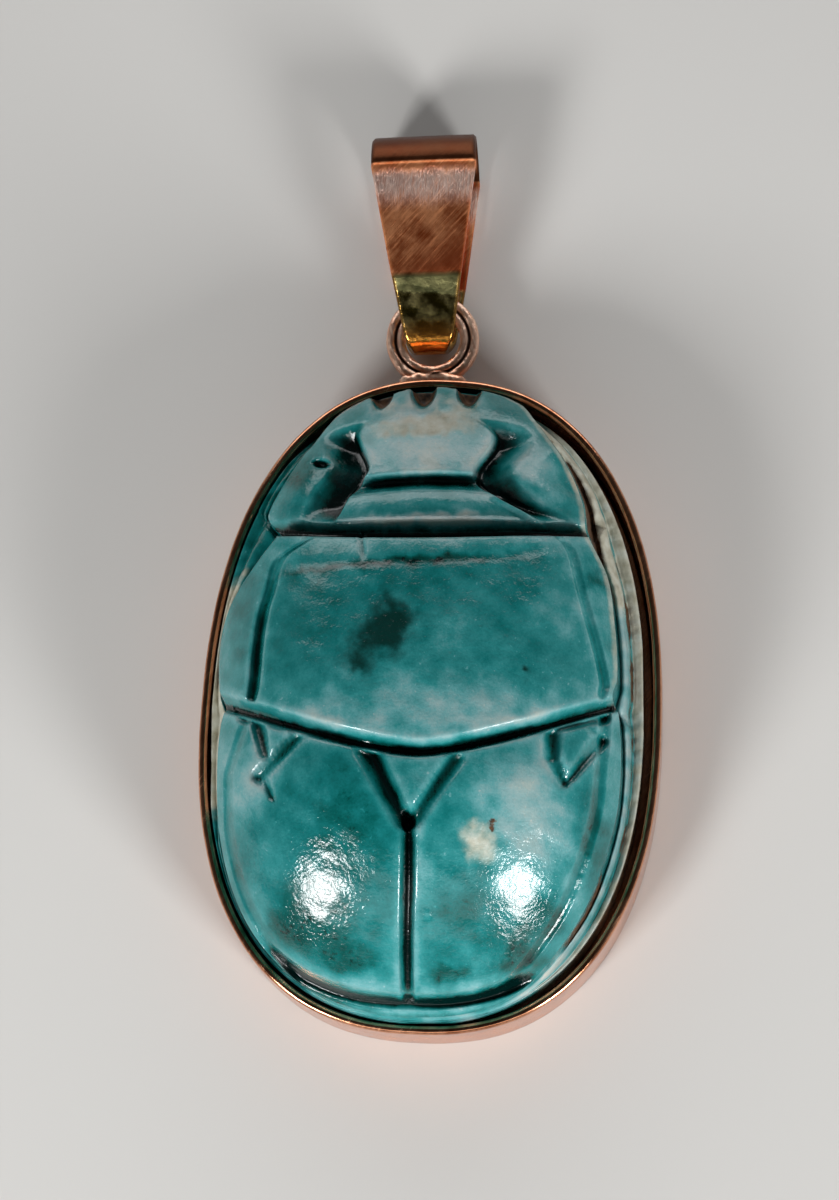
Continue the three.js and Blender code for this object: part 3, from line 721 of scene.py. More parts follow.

# The two crevices down each flank are painted dark: soil together with painted shade, broken here and there.
first_gap, second_gap = window(step, 2, 6, 12, 16), np.exp(-((step - 21.6) / 1.5) ** 2)
broken = 0.55 + 0.3 * uneven(bx, by, 3.1, 43)
outer_dirt_and_shade = mixed(0.75 * beside_seam, mixed(1.0, 0.4, soft(by, 7, 9)), right_side)
inner_dirt_and_shade = beside_head * soft(by, 6.0, 8) * 1.05 + 0.8 * soft(-by, 9, 11) * right_side
flank_dirt_and_shade = (second_gap * broken * outer_dirt_and_shade + first_gap * inner_dirt_and_shade) * sideways
# Painted shade with soil in the notches of the plate: darker where the notch floor lies lower.
notch_dirt_and_shade = soft(by, 15.6, 16.3) * soft(5.6 - bz, 0.0, 0.9)
dirt = np.where(low_side, flank_dirt_and_shade, dirt + 0.9 * notch_dirt_and_shade)

# The plinth's wall is thinly glazed and half bare, and the underside is the same all over.
WALL_GLAZED, WALL_BARE = 30, 33
blotches = blotchy * (step < FLANK_END)
thick = np.where(step > WALL_GLAZED, 0.4 + 0.15 * blotches, thick)
bare = np.where(step > WALL_BARE, 0.5 + 0.3 * blotches, bare)
stain = stain * on_back
# A narrow beige wear line along the shoulders' edges.
near_edge = np.minimum(bx - edge_left(by), edge_right(by) - bx)
wear = 0.55 * (1 - soft(near_edge, 0.1, 0.45)) * soft(bx, 0, 6) * soft(by, -3, 1)
bare = np.where(on_back, bare + wear, bare)

# %% The beetle's body as an object
ring_rows = up * across + np.arange(len(rings) * count).reshape(len(rings), count)
side_rows = np.concatenate([rim[None], ring_rows])
body_quads = np.concatenate([squares(number[::-1], closed=False), squares(side_rows)])
body_fan = fan(ring_rows[-1], len(body_points) - 1)
scarab = build("scarab_glazed", within(body_points, "scarab", 0.002), body_quads, body_fan,
               {"thick": thick, "stain": stain, "bare": bare, "dirt": dirt})
print("scarab:", len(body_quads) * 2 + len(body_fan), "triangles")


# %% [markdown]
# ## Node trees without the noodles
#
# Both the sweep below and the materials are node trees. Wiring dozens of sockets by hand is slow to read,
# so one small class wraps a socket: arithmetic on it adds a Math or Vector Math node, and one method adds
# any other node.

# %% A wrapped socket
class Wire:
    """An output socket of a node tree, with arithmetic."""

    def __init__(self, tree, socket):
        self.tree, self.socket = tree, socket

    def node(self, kind, settings=None, out=0, **values):
        """Add a node: its settings first, then its inputs by name (spaces as underscores) or as i0, i1..."""
        node = self.tree.nodes.new(kind)
        for key, value in (settings or {}).items():
            setattr(node, key, value)
        for key, value in values.items():
            if key[0] == "i" and key[1:].isdigit():
                target = node.inputs[int(key[1:])]
            else:
                target = node.inputs[key.replace("_", " ")]
            self.feed(target, value)
        return Wire(self.tree, node.outputs[out]) if len(node.outputs) else node

    def feed(self, target, value):
        if isinstance(value, Wire):
            self.tree.links.new(value.socket, target)
        elif value is not None:
            target.default_value = value

    def is_vector(self):
        return self.socket.type in ("VECTOR", "RGBA")

    def math(self, operation, *others):
        """A Math node, or a Vector Math node when this is a vector and the operation suits it."""
        if self.is_vector() or any(isinstance(o, Wire) and o.is_vector() for o in others):
            fit = [(o, o, o) if isinstance(o, (int, float)) else o for o in others]
            return self.node("ShaderNodeVectorMath", {"operation": operation}, i0=self,
                             **{f"i{k + 1}": o for k, o in enumerate(fit)})
        return self.node("ShaderNodeMath", {"operation": operation}, i0=self,
                         **{f"i{k + 1}": o for k, o in enumerate(others)})

    def __add__(self, other):
        return self.math("ADD", other)

    def __sub__(self, other):
        return self.math("SUBTRACT", other)

    def __mul__(self, other):
        return self.math("MULTIPLY", other)

    def __radd__(self, other):
        return self.math("ADD", other)

    def __rsub__(self, other):
        return self.node("ShaderNodeMath", {"operation": "SUBTRACT"}, i0=other, i1=self)

    def step(self, low, high, to_low=0.0, to_high=1.0):
        """A soft step from to_low to to_high as the value goes from low to high."""
        return self.node("ShaderNodeMapRange", {"interpolation_type": "SMOOTHSTEP"}, Value=self,
                         From_Min=low, From_Max=high, To_Min=to_low, To_Max=to_high)

    def split(self):
        """The three parts of a vector."""
        node = self.tree.nodes.new("ShaderNodeSeparateXYZ")
        self.tree.links.new(self.socket, node.inputs[0])
        return [Wire(self.tree, out) for out in node.outputs]


# %% [markdown]
# ## Sweeping a strip round a closed path
#
# The bezel is a strip bent round an oval, and the hanger ring is a double wire bent round a circle. A
# goldsmith draws or files the section once and bends it, and the geometry nodes below do the same: a path,
# a section and a little unevenness. A lathe couldn't turn the oval, and modelling the strip point by point
# would lose the section.

# %% The sweep tree
def sweep_tree():
    tree = bpy.data.node_groups.new("Bent strip", "GeometryNodeTree")
    face = tree.interface
    face.new_socket("Geometry", in_out="INPUT", socket_type="NodeSocketGeometry")
    named = (("Section", "Object", None), ("Material", "Material", None), ("Unevenness", "Float", 0.00002),
             ("Waviness", "Float", 300.0), ("Seed", "Float", 0.0))
    for label, kind, value in named:
        socket = face.new_socket(label, in_out="INPUT", socket_type="NodeSocket" + kind)
        if value is not None:
            socket.default_value = value
    face.new_socket("Geometry", in_out="OUTPUT", socket_type="NodeSocketGeometry")
    given = tree.nodes.new("NodeGroupInput")
    path, section, material, amount, pace, seed = (Wire(tree, out) for out in list(given.outputs)[:6])
    upright = path.node("GeometryNodeSetCurveNormal", {"mode": "Z_UP"}, Curve=path)
    profile = section.node("GeometryNodeObjectInfo", out="Geometry", Object=section)
    strip = upright.node("GeometryNodeCurveToMesh", Curve=upright, Profile_Curve=profile)
    spot = path.node("GeometryNodeInputPosition")
    wave = spot.node("ShaderNodeTexNoise", {"noise_dimensions": "4D"}, out="Color", Vector=spot, W=seed,
                     Scale=pace, Detail=1.0)
    moved = strip.node("GeometryNodeSetPosition", Geometry=strip, Offset=(wave - 0.5) * amount)
    whole = moved.node("GeometryNodeRealizeInstances", Geometry=moved)
    done = whole.node("GeometryNodeSetMaterial", Geometry=whole, Material=material)
    tree.links.new(done.socket, tree.nodes.new("NodeGroupOutput").inputs[0])
    return tree


SWEEP = sweep_tree()


def volume(mesh):
    """The signed volume inside a closed mesh; below zero means inside out."""
    mesh.calc_loop_triangles()
    points = np.array([v.co for v in mesh.vertices])
    a, b, c = (points[[t.vertices[k] for t in mesh.loop_triangles]] for k in range(3))
    return float((a * np.cross(b, c)).sum() / 6)


def report(name, mesh):
    size = round(volume(mesh) * 1e6, 4)
    print(name + ":", len(mesh.loop_triangles), "triangles, volume", size, "cm3")


def curve_object(name, points):
    """A closed curve of straight steps through points in metres."""
    curve = bpy.data.curves.new(name, "CURVE")
    curve.dimensions = "3D"
    line = curve.splines.new("POLY")
    line.points.add(len(points) - 1)
    for point, at in zip(line.points, points):
        point.co = (*at, 1.0)
    line.use_cyclic_u = True
    return linked(name, curve)


def swept(name, path_points, section_points, material, unevenness, waviness, seed):
    """A strip bent round a closed path. Section points are (inwards, up) in millimetres."""
    path = curve_object(name + "_path", place(path_points).tolist())
    flat = [(-inward * MM, -height * MM, 0.0) for inward, height in section_points]
    section = curve_object(name + "_section", flat)
    modifier = path.modifiers.new("Bend", "NODES")
    modifier.node_group = SWEEP
    given = {"Section": section, "Material": material, "Unevenness": unevenness * MM, "Waviness": waviness,
             "Seed": seed}
    for item in SWEEP.interface.items_tree:
        if item.in_out == "INPUT" and item.name in given:
            modifier[item.identifier] = given[item.name]
    bpy.context.view_layer.update()
    evaluated = path.evaluated_get(bpy.context.evaluated_depsgraph_get())
    mesh = bpy.data.meshes.new_from_object(evaluated)
    for spare in (path, section):
        bpy.data.objects.remove(spare)
    mesh.name = name
    mesh.shade_smooth()
    report(name, mesh)
    return linked(name, mesh)


# %% [markdown]
# ## Materials
#
# Four finishes are seen: glaze over stone, the bezel's rose gold, the ring's brighter gold and the bail's
# two-coloured leaf. Each is worked out from positions on the object and from the values kept at its points,
# so it stays put from every side.

# %% Starting a material
def material(name):
    """A material's empty tree: its Object coordinates and its output socket."""
    made = bpy.data.materials.new(name)
    made.use_nodes = True
    made.node_tree.nodes.clear()
    end = made.node_tree.nodes.new("ShaderNodeOutputMaterial")
    coordinates = made.node_tree.nodes.new("ShaderNodeTexCoord")
    return made, Wire(made.node_tree, coordinates.outputs["Object"]), end.inputs["Surface"]


def noise(at, size, detail, rough, stretch=None, seed=0.0):
    """Noise with features of about the given size in millimetres."""
    if stretch:
        at = at * stretch
    return at.node("ShaderNodeTexNoise", {"noise_dimensions": "4D"}, out="Fac", Vector=at, W=seed,
                   Scale=1 / (size * MM), Detail=detail, Roughness=rough)


def stray(at, size, detail, rough, seed, amount):
    """Noise between minus and plus half the amount."""
    return (noise(at, size, detail, rough, seed=seed) - 0.5) * amount


def ramp(value, stops):
    """A colour ramp: stops are (position, linear colour)."""
    node = value.tree.nodes.new("ShaderNodeValToRGB")
    stops_here = node.color_ramp.elements
    while len(stops_here) < len(stops):
        stops_here.new(0.5)
    for element, (position, colour) in zip(stops_here, stops):
        element.position = position
        element.color = (*colour, 1.0)
    value.tree.links.new(value.socket, node.inputs[0])
    return Wire(value.tree, node.outputs[0])


def blend(share, a, b):
    """Colour a where share is 0 and b where it's 1."""
    node = share.tree.nodes.new("ShaderNodeMix")
    node.data_type = "RGBA"
    share.feed(node.inputs[0], share)
    for socket, value in ((node.inputs[6], a), (node.inputs[7], b)):
        share.feed(socket, value if isinstance(value, Wire) else (*value, 1.0))
    return Wire(share.tree, node.outputs[2])


def attribute(at, name):
    return at.node("ShaderNodeAttribute", {"attribute_name": name}, out="Fac")


def bumped(height, strength, depth):
    return height.node("ShaderNodeBump", Height=height, Strength=strength, Distance=depth * MM)


def surfaced(at, surface, **inputs):
    """A principled surface, wired to the material's output."""
    shader = at.node("ShaderNodeBsdfPrincipled", **inputs)
    at.tree.links.new(shader.socket, surface)


def grain(at, turn):
    """Coordinates turned about Z, for strokes that run at a slant."""
    return at.node("ShaderNodeVectorRotate", {"rotation_type": "Z_AXIS"}, Vector=at, Angle=turn)


# %% [markdown]
# ### Turquoise glaze over soapstone
#
# The colour runs with the thickness of the glaze: grey-blue where it's thin, turquoise, sea green and
# almost black where it's pooled. Fine mottling is added to the thickness rather than to the colour, so pale
# specks and dark specks take the right hue by themselves. Bare stone is beige and dull, and old dirt is
# brown, as is the painted shade in the crevices and notches.

# %% Glaze
glaze, here, surface = material("glaze")
mottle = stray(here, 0.9, 4.0, 0.68, 1.0, 0.36) + stray(here, 2.6, 3.0, 0.55, 2.0, 0.18)
specks = noise(here, 0.3, 2.0, 0.6, seed=3.0).step(0.64, 0.76) * -0.16
pooled_and_shaded = attribute(here, "thick").step(0.55, 0.8)
dark_specks = noise(here, 0.34, 3.0, 0.6, seed=13.0).step(0.52, 0.72) * pooled_and_shaded * 0.22
grains = stray(here, 0.13, 2.0, 0.7, 14.0, 0.16)
# The thickness carries the glaze's own pooling and also the painted shade in the scoops.
glaze_thickness_and_shade = attribute(here, "thick") + mottle + specks + dark_specks + grains
glaze_colour = ramp(glaze_thickness_and_shade, [
    (0.0, (0.36, 0.43, 0.4)), (0.14, (0.23, 0.38, 0.385)), (0.28, (0.10, 0.31, 0.32)),
    (0.42, (0.026, 0.22, 0.222)), (0.56, (0.006, 0.15, 0.15)), (0.7, (0.001, 0.09, 0.083)),
    (0.85, (0.0006, 0.045, 0.038)), (1.0, (0.0004, 0.009, 0.008))])
stain_share = (attribute(here, "stain") + stray(here, 0.55, 4.0, 0.65, 4.0, 0.7)).step(0.02, 0.85)
glaze_colour = blend(stain_share * 0.94, glaze_colour, (0.001, 0.02, 0.015))
stone = ramp(noise(here, 0.7, 4.0, 0.6, seed=5.0), [(0.3, (0.33, 0.29, 0.2)), (0.5, (0.5, 0.47, 0.37)),
                                                   (0.7, (0.6, 0.61, 0.54))])
bare_share = (attribute(here, "bare") + stray(here, 0.6, 4.0, 0.62, 6.0, 0.7)).step(0.15, 0.9)
with_stone = blend(bare_share * 0.9, glaze_colour, stone)
# Dark brown for old dirt and for the painted shade in the crevices and notches.
soil_and_shade = ramp(noise(here, 0.3, 3.0, 0.6, seed=7.0),
            [(0.35, (0.014, 0.006, 0.003)), (0.68, (0.13, 0.06, 0.022))])
dirt_and_shade_share = (attribute(here, "dirt") + stray(here, 0.9, 5.0, 0.68, 8.0, 1.7)).step(0.42, 0.66)
glaze_base = blend(dirt_and_shade_share, with_stone, soil_and_shade)
dull = bare_share * 0.45 + dirt_and_shade_share * 0.5
glaze_rough = dull + noise(here, 1.4, 3.0, 0.6, seed=9.0).step(0.35, 0.75, 0.08, 0.26)
pits = noise(here, 0.2, 2.0, 0.6, seed=10.0) * 0.45 + noise(here, 0.6, 3.0, 0.6, seed=11.0)
glaze_bump = bumped(pits, 0.68, 0.08)
surfaced(here, surface, Base_Color=glaze_base, Roughness=glaze_rough, Normal=glaze_bump, IOR=1.42,
         Coat_Weight=dull.step(0.1, 0.5, 0.25, 0.0), Coat_Roughness=0.1)
scarab.data.materials.append(glaze)


# %% [markdown]
# ### Worn gold
#
# Old rose gold is darker in its hollows and scratched at a slant by handling. Scratches are noise stretched
# twenty to thirty times along one direction. They move the surface, its gloss and its colour a little. On
# the ring the same gold has lumps, and a painted shade line darkens the groove where the two wires meet.

# %% Gold, for the bezel and the ring
def gold(name, deep, bright, turn, rough_low, rough_high, lumps=0.0, groove_shade_line=None):
    made, at, surface_in = material(name)
    slanted = grain(at, turn)
    scratches = noise(slanted, 0.16, 2.0, 0.6, stretch=(1.0, 0.05, 0.3), seed=1.0)
    long_ones = noise(slanted, 0.5, 2.0, 0.6, stretch=(1.0, 0.03, 0.3), seed=2.0)
    clouds = noise(at, 1.8, 3.0, 0.55, seed=3.0)
    colour = blend((clouds * 0.7 + scratches * 0.5).step(0.35, 0.8), deep, bright)
    rough = clouds.step(0.3, 0.7, rough_low, rough_high) + scratches.step(0.5, 0.7) * 0.1
    dents = noise(at, 0.7, 2.0, 0.5, seed=4.0) * lumps
    # A painted shade line along the groove between the two wires.
    if groove_shade_line:
        centre, radius = groove_shade_line
        flat = (at - centre) * (1.0, 1.0, 0.0)
        out_from = flat.node("ShaderNodeVectorMath", {"operation": "LENGTH"}, out="Value", i0=flat)
        off_line = (out_from - radius).math("ABSOLUTE")
        colour = blend(off_line.step(0.04 * MM, 0.13 * MM, 0.9, 0.0), colour, (0.04, 0.014, 0.007))
    lift = bumped(scratches * 0.5 + long_ones * 0.5 + clouds * 0.8 + dents, 0.25, 0.03)
    surfaced(at, surface_in, Base_Color=colour, Metallic=1.0, Roughness=rough, Normal=lift)
    return made


rose_gold = gold("rose_gold", (0.42, 0.15, 0.07), (0.74, 0.36, 0.21), math.radians(35), 0.11, 0.2)

# %% [markdown]
# ## The bezel
#
# A strip 4 mm high and half a millimetre thick stands on a narrow ledge that carries the stone, and its
# upper rim is rounded over by rubbing. The section is drawn once, with the fillet and the rounded rim, and
# bent round the oval.

# %% Section of the strip, and the bend
def arc(cx, cy, radius, start, end, steps):
    return [(cx + radius * math.cos(math.radians(mixed(start, end, k / steps))),
             cy + radius * math.sin(math.radians(mixed(start, end, k / steps)))) for k in range(steps + 1)]


FILLET, LEDGE_ROUND, RIM_ROUND, BEZEL_STEPS = 0.14, 0.12, 0.24, 480
section = (arc(FILLET, FILLET, FILLET, 180, 270, 4)
           + arc(LEDGE_IN - LEDGE_ROUND, LEDGE_ROUND, LEDGE_ROUND, 270, 360, 3)
           + arc(LEDGE_IN - 0.1, LEDGE_TOP - 0.1, 0.1, 0, 90, 3)
           + [(mixed(LEDGE_IN - 0.1, WALL_THICK + FILLET, k / 3), LEDGE_TOP) for k in (1, 2)]
           + arc(WALL_THICK + FILLET, LEDGE_TOP + FILLET, FILLET, 270, 180, 4)
           + [(WALL_THICK, z) for z in np.linspace(LEDGE_TOP + 0.4, WALL_HIGH - 0.5, 9)]
           + arc(WALL_THICK / 2, WALL_HIGH - RIM_ROUND, RIM_ROUND, 0, 180, 12)
           + [(0.0, z) for z in np.linspace(WALL_HIGH - 0.5, 0.4, 10)])
way_round = np.linspace(0, 2 * math.pi, BEZEL_STEPS, endpoint=False)
bezel_path = np.concatenate([oval_point(way_round), np.zeros((BEZEL_STEPS, 1))], 1)
bezel = swept("bezel_strip", bezel_path, section, rose_gold, unevenness=0.05, waviness=420.0, seed=3.0)

# %% [markdown]
# ## The hanger ring
#
# Two round wires laid side by side and soldered make the ring, so it shows two beads with a fine groove
# between them, darkened by a painted shade line in the gold. The section is drawn once, as two rounded ends
# pulled a little apart at the waist, and bent round a circle. A torus with a second torus cut out would leave
# a hard edge at the groove, where solder has run in.

# %% Ring
RING_Y, RING_Z, RING_MEAN, BEAD, RING_HALF, RING_GROOVE = 21.0, 2.2, 2.07, 0.27, 0.5, 0.26
BEAD_STEPS, BEAD_TURN, RING_STEPS = 16, 280, 160
beads = []
for centre, start in ((-BEAD, -140), (BEAD, 40)):
    for k in range(BEAD_STEPS + 1):
        t = math.radians(start + BEAD_TURN * k / BEAD_STEPS)
        beads.append((centre - math.cos(t) * BEAD * 0.985,
                      math.sin(t) * BEAD + math.copysign(RING_HALF - BEAD, math.sin(t))))
    beads.append((0.0, math.copysign(RING_GROOVE - 0.12, 1 if start < 0 else -1)))
ring_path = [(RING_MEAN * math.cos(t), RING_Y + RING_MEAN * math.sin(t), RING_Z)
             for t in np.linspace(0, 2 * math.pi, RING_STEPS, endpoint=False)]
ring_centre = tuple(place([0.0, RING_Y, 0.0]).tolist())
ring_gold = gold("ring_gold", (0.85, 0.4, 0.24), (1.0, 0.76, 0.6), math.radians(-20), 0.34, 0.5,
                 lumps=30.0, groove_shade_line=(ring_centre, RING_MEAN * MM))
hanger_ring = swept("ring_beads", ring_path, beads[::-1], ring_gold,
                    unevenness=0.07, waviness=1100.0, seed=8.0)

# %% [markdown]
# ### The solder
#
# A generous lump of solder joins the ring to the head end of the bezel. It's a squared ball, flattened and
# made a little uneven as run metal is. It bites into the ring and stands a hair clear of the bezel, because
# the solid that it belongs to does.

# %% Solder between the ring and the bezel
SOLDER_Y, SOLDER_Z = 18.68, 2.16
HALF_X, HALF_Y, HALF_Z = 1.88, 0.5, 0.78
LUMP_ROUND, LUMP_ROWS = 96, 32


def power(a, p):
    return np.sign(a) * np.abs(a) ** p


lump_u, lump_v = np.meshgrid(np.linspace(0, 2 * math.pi, LUMP_ROUND, endpoint=False),
                             np.linspace(-math.pi / 2, math.pi / 2, LUMP_ROWS + 2)[1:-1])
lump_x = HALF_X * power(np.cos(lump_u) * np.cos(lump_v), 0.75)
lump_y = SOLDER_Y + HALF_Y * power(np.sin(lump_u) * np.cos(lump_v), 0.8) - 0.035 * lump_x ** 2
lump_z = SOLDER_Z + HALF_Z * power(np.sin(lump_v), 0.7) * (1 - 0.16 * np.abs(lump_x) / HALF_X)
bumps = 0.05 * uneven(lump_x + lump_z, lump_y - lump_z, 0.9, 51)
lump = np.stack([lump_x, lump_y + bumps, lump_z + 0.8 * bumps * (lump_v > 0)], -1).reshape(-1, 3)
lump = np.concatenate([lump, [[0, SOLDER_Y, SOLDER_Z - HALF_Z], [0, SOLDER_Y, SOLDER_Z + HALF_Z]]])
lump_rows = np.arange(LUMP_ROWS * LUMP_ROUND).reshape(LUMP_ROWS, LUMP_ROUND)
caps = np.concatenate([fan(lump_rows[0], lump_rows.size), fan(lump_rows[-1][::-1], lump_rows.size + 1)])
solder = build("ring_solder", within(lump, "hanger_ring", 0.002), squares(lump_rows[::-1]), caps)
solder.data.materials.append(ring_gold)
report("ring_solder", solder.data)

# %% [markdown]
# ## The bail
#
# A leaf of gold, folded in half over a rod: the fold makes the eye for a chain, the two halves run down one
# over the other to a knee, and a narrow neck turns through the ring. It's one strip of even thickness, cut
# to a tapering outline before it was folded, so it's made as a loop in side view whose width changes with
# the distance along it.

# %% The loop in side view
THICK, BAIL_TOP, FOLD_R, KNEE_Y, KNEE_Z, FLOOR_RISE = 0.5, 32.95, 2.35, 24.35, 4.35, 0.03
TURN_Y, TURN_R, TURN_Z, TOP_WIDE, KNEE_WIDE, TURN_WIDE = 20.25, 1.32, 1.95, 5.9, 3.95, 2.45
fold_y = BAIL_TOP - FOLD_R


def straight(p, q, steps, end=None):
    """Points on the way from p, itself left out, to q."""
    return [(mixed(p[0], q[0], t), mixed(p[1], q[1], t)) for t in np.linspace(0, 1, steps)[1:end]]


knee = (KNEE_Y, KNEE_Z + (2 * FOLD_R - KNEE_Z) * 0.4)
under_knee_point = (KNEE_Y, FLOOR_RISE)
turn_arc = arc(TURN_Y + TURN_R, TURN_Z, TURN_R, 112, 270 - 13.2, 30)
loop = np.array(arc(fold_y, FOLD_R, FOLD_R, -90, 90, 40) + straight((fold_y, 2 * FOLD_R), knee, 24)
                + straight(knee, turn_arc[0], 18, -1) + turn_arc
                + straight(turn_arc[-1], under_knee_point, 14)
                + straight(under_knee_point, (fold_y, 0.0), 20, -1))


# Bent metal has no sharp corner, so the loop is evened out a little and walked at even steps.
def evened(points, step, rounds):
    closed = np.concatenate([points, points[:1]])
    run = np.concatenate([[0], np.cumsum(np.linalg.norm(np.diff(closed, axis=0), axis=1))])
    at = np.linspace(0, run[-1], int(run[-1] / step), endpoint=False)
    points = np.stack([np.interp(at, run, closed[:, c]) for c in (0, 1)], -1)
    for _ in range(rounds):
        points = 0.5 * points + 0.25 * (np.roll(points, 1, 0) + np.roll(points, -1, 0))
    return points


loop = evened(loop, 0.1, 14)
tangent = np.roll(loop, -1, 0) - np.roll(loop, 1, 0)
tangent /= np.linalg.norm(tangent, axis=1, keepdims=True)
inward = np.stack([-tangent[:, 1], tangent[:, 0]], -1)
half_wide = np.interp(loop[:, 0], [TURN_Y - 0.2, KNEE_Y, fold_y, BAIL_TOP + 1],
                      [TURN_WIDE / 2, KNEE_WIDE / 2, TOP_WIDE / 2, TOP_WIDE / 2 - 0.05])
half_wide = half_wide * mixed(0.72, 1.0, np.sqrt(np.clip((loop[:, 0] - TURN_Y) / 0.8, 0, 1)))

# %% Its section, with rounded edges, and the finished leaf
ACROSS, EDGE_ROUND, EDGE_REACH, CREASE_Y, LEAN = 40, 0.13, 0.15, 30.9, math.radians(1.3)
share = np.concatenate([np.linspace(-1, 1, ACROSS), np.linspace(1, -1, ACROSS)])
outer_side = np.arange(2 * ACROSS) < ACROSS
bail_points, up_leaf, from_edge = [], [], []
for (y, z), (ny, nz), half in zip(loop, inward, half_wide):
    x = share * half
    edge = half - np.abs(x)
    rounding = EDGE_ROUND * (1 - np.clip(edge / EDGE_REACH, 0, 1)) ** 2
    depth = np.where(outer_side, rounding, THICK - rounding)
    front = soft(z, 2.6, 3.6)
    crease = 0.05 * math.exp(-((y - CREASE_Y) / 0.12) ** 2) * front
    sag = 0.06 * front * (x / half) ** 2 + crease
    dent = front * (0.012 * uneven(x, y, 3.5, 61) + 0.003 * uneven(x, y, 0.9, 62))
    depth = depth + np.where(outer_side, 1.0, 0.3) * (sag + 0.03 - dent).clip(0, 0.2)
    bail_points.append(np.stack([x, y + ny * depth, z + nz * depth], -1))
    up_leaf.append(np.full(2 * ACROSS, y))
    from_edge.append(edge)
bail_points = np.array(bail_points)

# The leaf leans a little to one side in the ring.
x, y = bail_points[..., 0], bail_points[..., 1] - RING_Y
bail_points = np.stack([x * math.cos(LEAN) - y * math.sin(LEAN) - 0.16,
                        x * math.sin(LEAN) + y * math.cos(LEAN) + RING_Y, bail_points[..., 2]], -1)
bail_rows = np.arange(len(loop) * 2 * ACROSS).reshape(len(loop), 2 * ACROSS)
bail_rows = np.concatenate([bail_rows, bail_rows[:1]])
bail = build("bail_leaf", within(bail_points.reshape(-1, 3), "bail", 0.001), squares(bail_rows),
             values={"up_leaf": np.array(up_leaf).ravel(), "from_edge": np.array(from_edge).ravel()})
if volume(bail.data) < 0:
    bail.data.flip_normals()
report("bail_leaf", bail.data)


# %% [markdown]
# ### The bail's two colours
#
# Above the knee the leaf is rose gold like the bezel, heavily scratched at a slant, with a paler silvery
# zone near the fold; painted shade darkens the band over the fold and the leaf's lower right. Below it the
# neck is a greener gold, mottled dark and pale as painted reflections, with a painted pale sheen below the
# knee and a painted orange highlight on the turn round the ring. Both live in one material that reads how
# far up the leaf a point is.

# %% Bail gold
bail_gold, here, surface = material("pale_gold")
slanted = grain(here, math.radians(42))
crossed = grain(here, math.radians(-30))
upright = grain(here, math.radians(4))
strokes = noise(slanted, 0.085, 3.0, 0.7, stretch=(1.0, 0.05, 0.3), seed=1.0)
cross_strokes = noise(crossed, 0.13, 2.0, 0.6, stretch=(1.0, 0.05, 0.3), seed=2.0)
brushed = noise(upright, 0.1, 2.0, 0.7, stretch=(1.0, 0.12, 0.3), seed=12.0)
clouds = noise(here, 1.3, 4.0, 0.6, seed=3.0)
leaf_y = attribute(here, "up_leaf")
neck = 1.0 - (leaf_y + (clouds - 0.5) * 0.3).step(KNEE_Y - 0.25, KNEE_Y + 0.1)
slanting_y = leaf_y + here.split()[0] * 90.0
# The band just below the knee, which carries a painted pale sheen.
knee_sheen_band = (slanting_y + (clouds - 0.5) * 0.5).step(KNEE_Y - 1.25, KNEE_Y - 1.0) * neck
silvery = ((leaf_y + (clouds - 0.5) * 0.9).step(27.9, 29.3)
           * (1.0 - (leaf_y + (clouds - 0.5) * 0.6).step(29.8, 30.6)))
rose = blend((clouds * 0.6 + strokes * 0.4).step(0.35, 0.65), (0.62, 0.13, 0.035), (1.0, 0.42, 0.19))
# Painted shade: the leaf is darker towards its lower right.
lower_right_shade = (here.split()[0] * 600.0 - leaf_y + (clouds - 0.5) * 2.0).step(-26.5, -23.8)
rose = blend(lower_right_shade * 0.75, rose, (0.42, 0.06, 0.012))
rose = blend(silvery * brushed.step(0.3, 0.6, 0.45, 0.9), rose, (1.0, 0.76, 0.66))
# Painted shade: the band over the fold is darkened nearly to black.
fold_shade_band = leaf_y.step(CREASE_Y - 0.15, CREASE_Y + 0.05)
rose = blend(fold_shade_band * 0.95, rose, (0.07, 0.022, 0.01))
# The neck's greener gold, mottled dark and pale as painted reflections.
green = blend(clouds.step(0.4, 0.6), (0.12, 0.09, 0.015), (0.85, 0.72, 0.3))
# Painted sheen: a pale band just below the knee.
green = blend(knee_sheen_band * 0.6, green, (0.42, 0.44, 0.2))
# Painted highlight: the turn round the ring is bright orange.
green = blend(1.0 - leaf_y.step(TURN_Y + 0.55, TURN_Y + 1.95), green, (0.98, 0.4, 0.07))
green = blend(1.0 - attribute(here, "from_edge").step(0.06, 0.3), green, (0.3, 0.16, 0.04))
bail_colour = blend(neck, rose, green)
bail_rough = (clouds.step(0.3, 0.7, 0.16, 0.24) + silvery * 0.08 + knee_sheen_band * 0.1
              + (0.2 + strokes.step(0.5, 0.75) * 0.14) * (1.0 - neck))
relief = strokes * 0.8 + cross_strokes * 0.5 + silvery * brushed * 9.0
bail_lift = bumped(relief * (1.0 - neck * 0.8) + clouds * (0.6 + neck * 4.2), 0.6, 0.04)
surfaced(here, surface, Base_Color=bail_colour, Metallic=1.0, Roughness=bail_rough, Normal=bail_lift)
bail.data.materials.append(bail_gold)

# %% [markdown]
# ## Handing the pieces over
#
# Each piece takes the place of the solid that it dresses, and rides on the one body there is. The ring's beads
# and its solder both stand for the hanger ring.

# %% Pieces, nodes and slots
for piece, node, slot in ((scarab, "scarab", "glaze"), (bezel, "bezel", "rose_gold"),
                          (hanger_ring, "hanger_ring", "rose_gold"), (solder, "hanger_ring", "rose_gold"),
                          (bail, "bail", "pale_gold")):
    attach(piece, "root")
    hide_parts(node)

# %% [markdown]
# ## Floor and light
#
# The pendant lies on a pale floor. Two small soft boxes stand low beyond the tail, to the left and the
# right, and make the two bright spots on the wing cases. A wide one beyond the head fills the shadows, and
# a weak one between the first two lifts the tail. The room is dim overhead and brighter towards the
# horizon, so metal that faces up reads dark and every rounded rim catches a thin bright line.

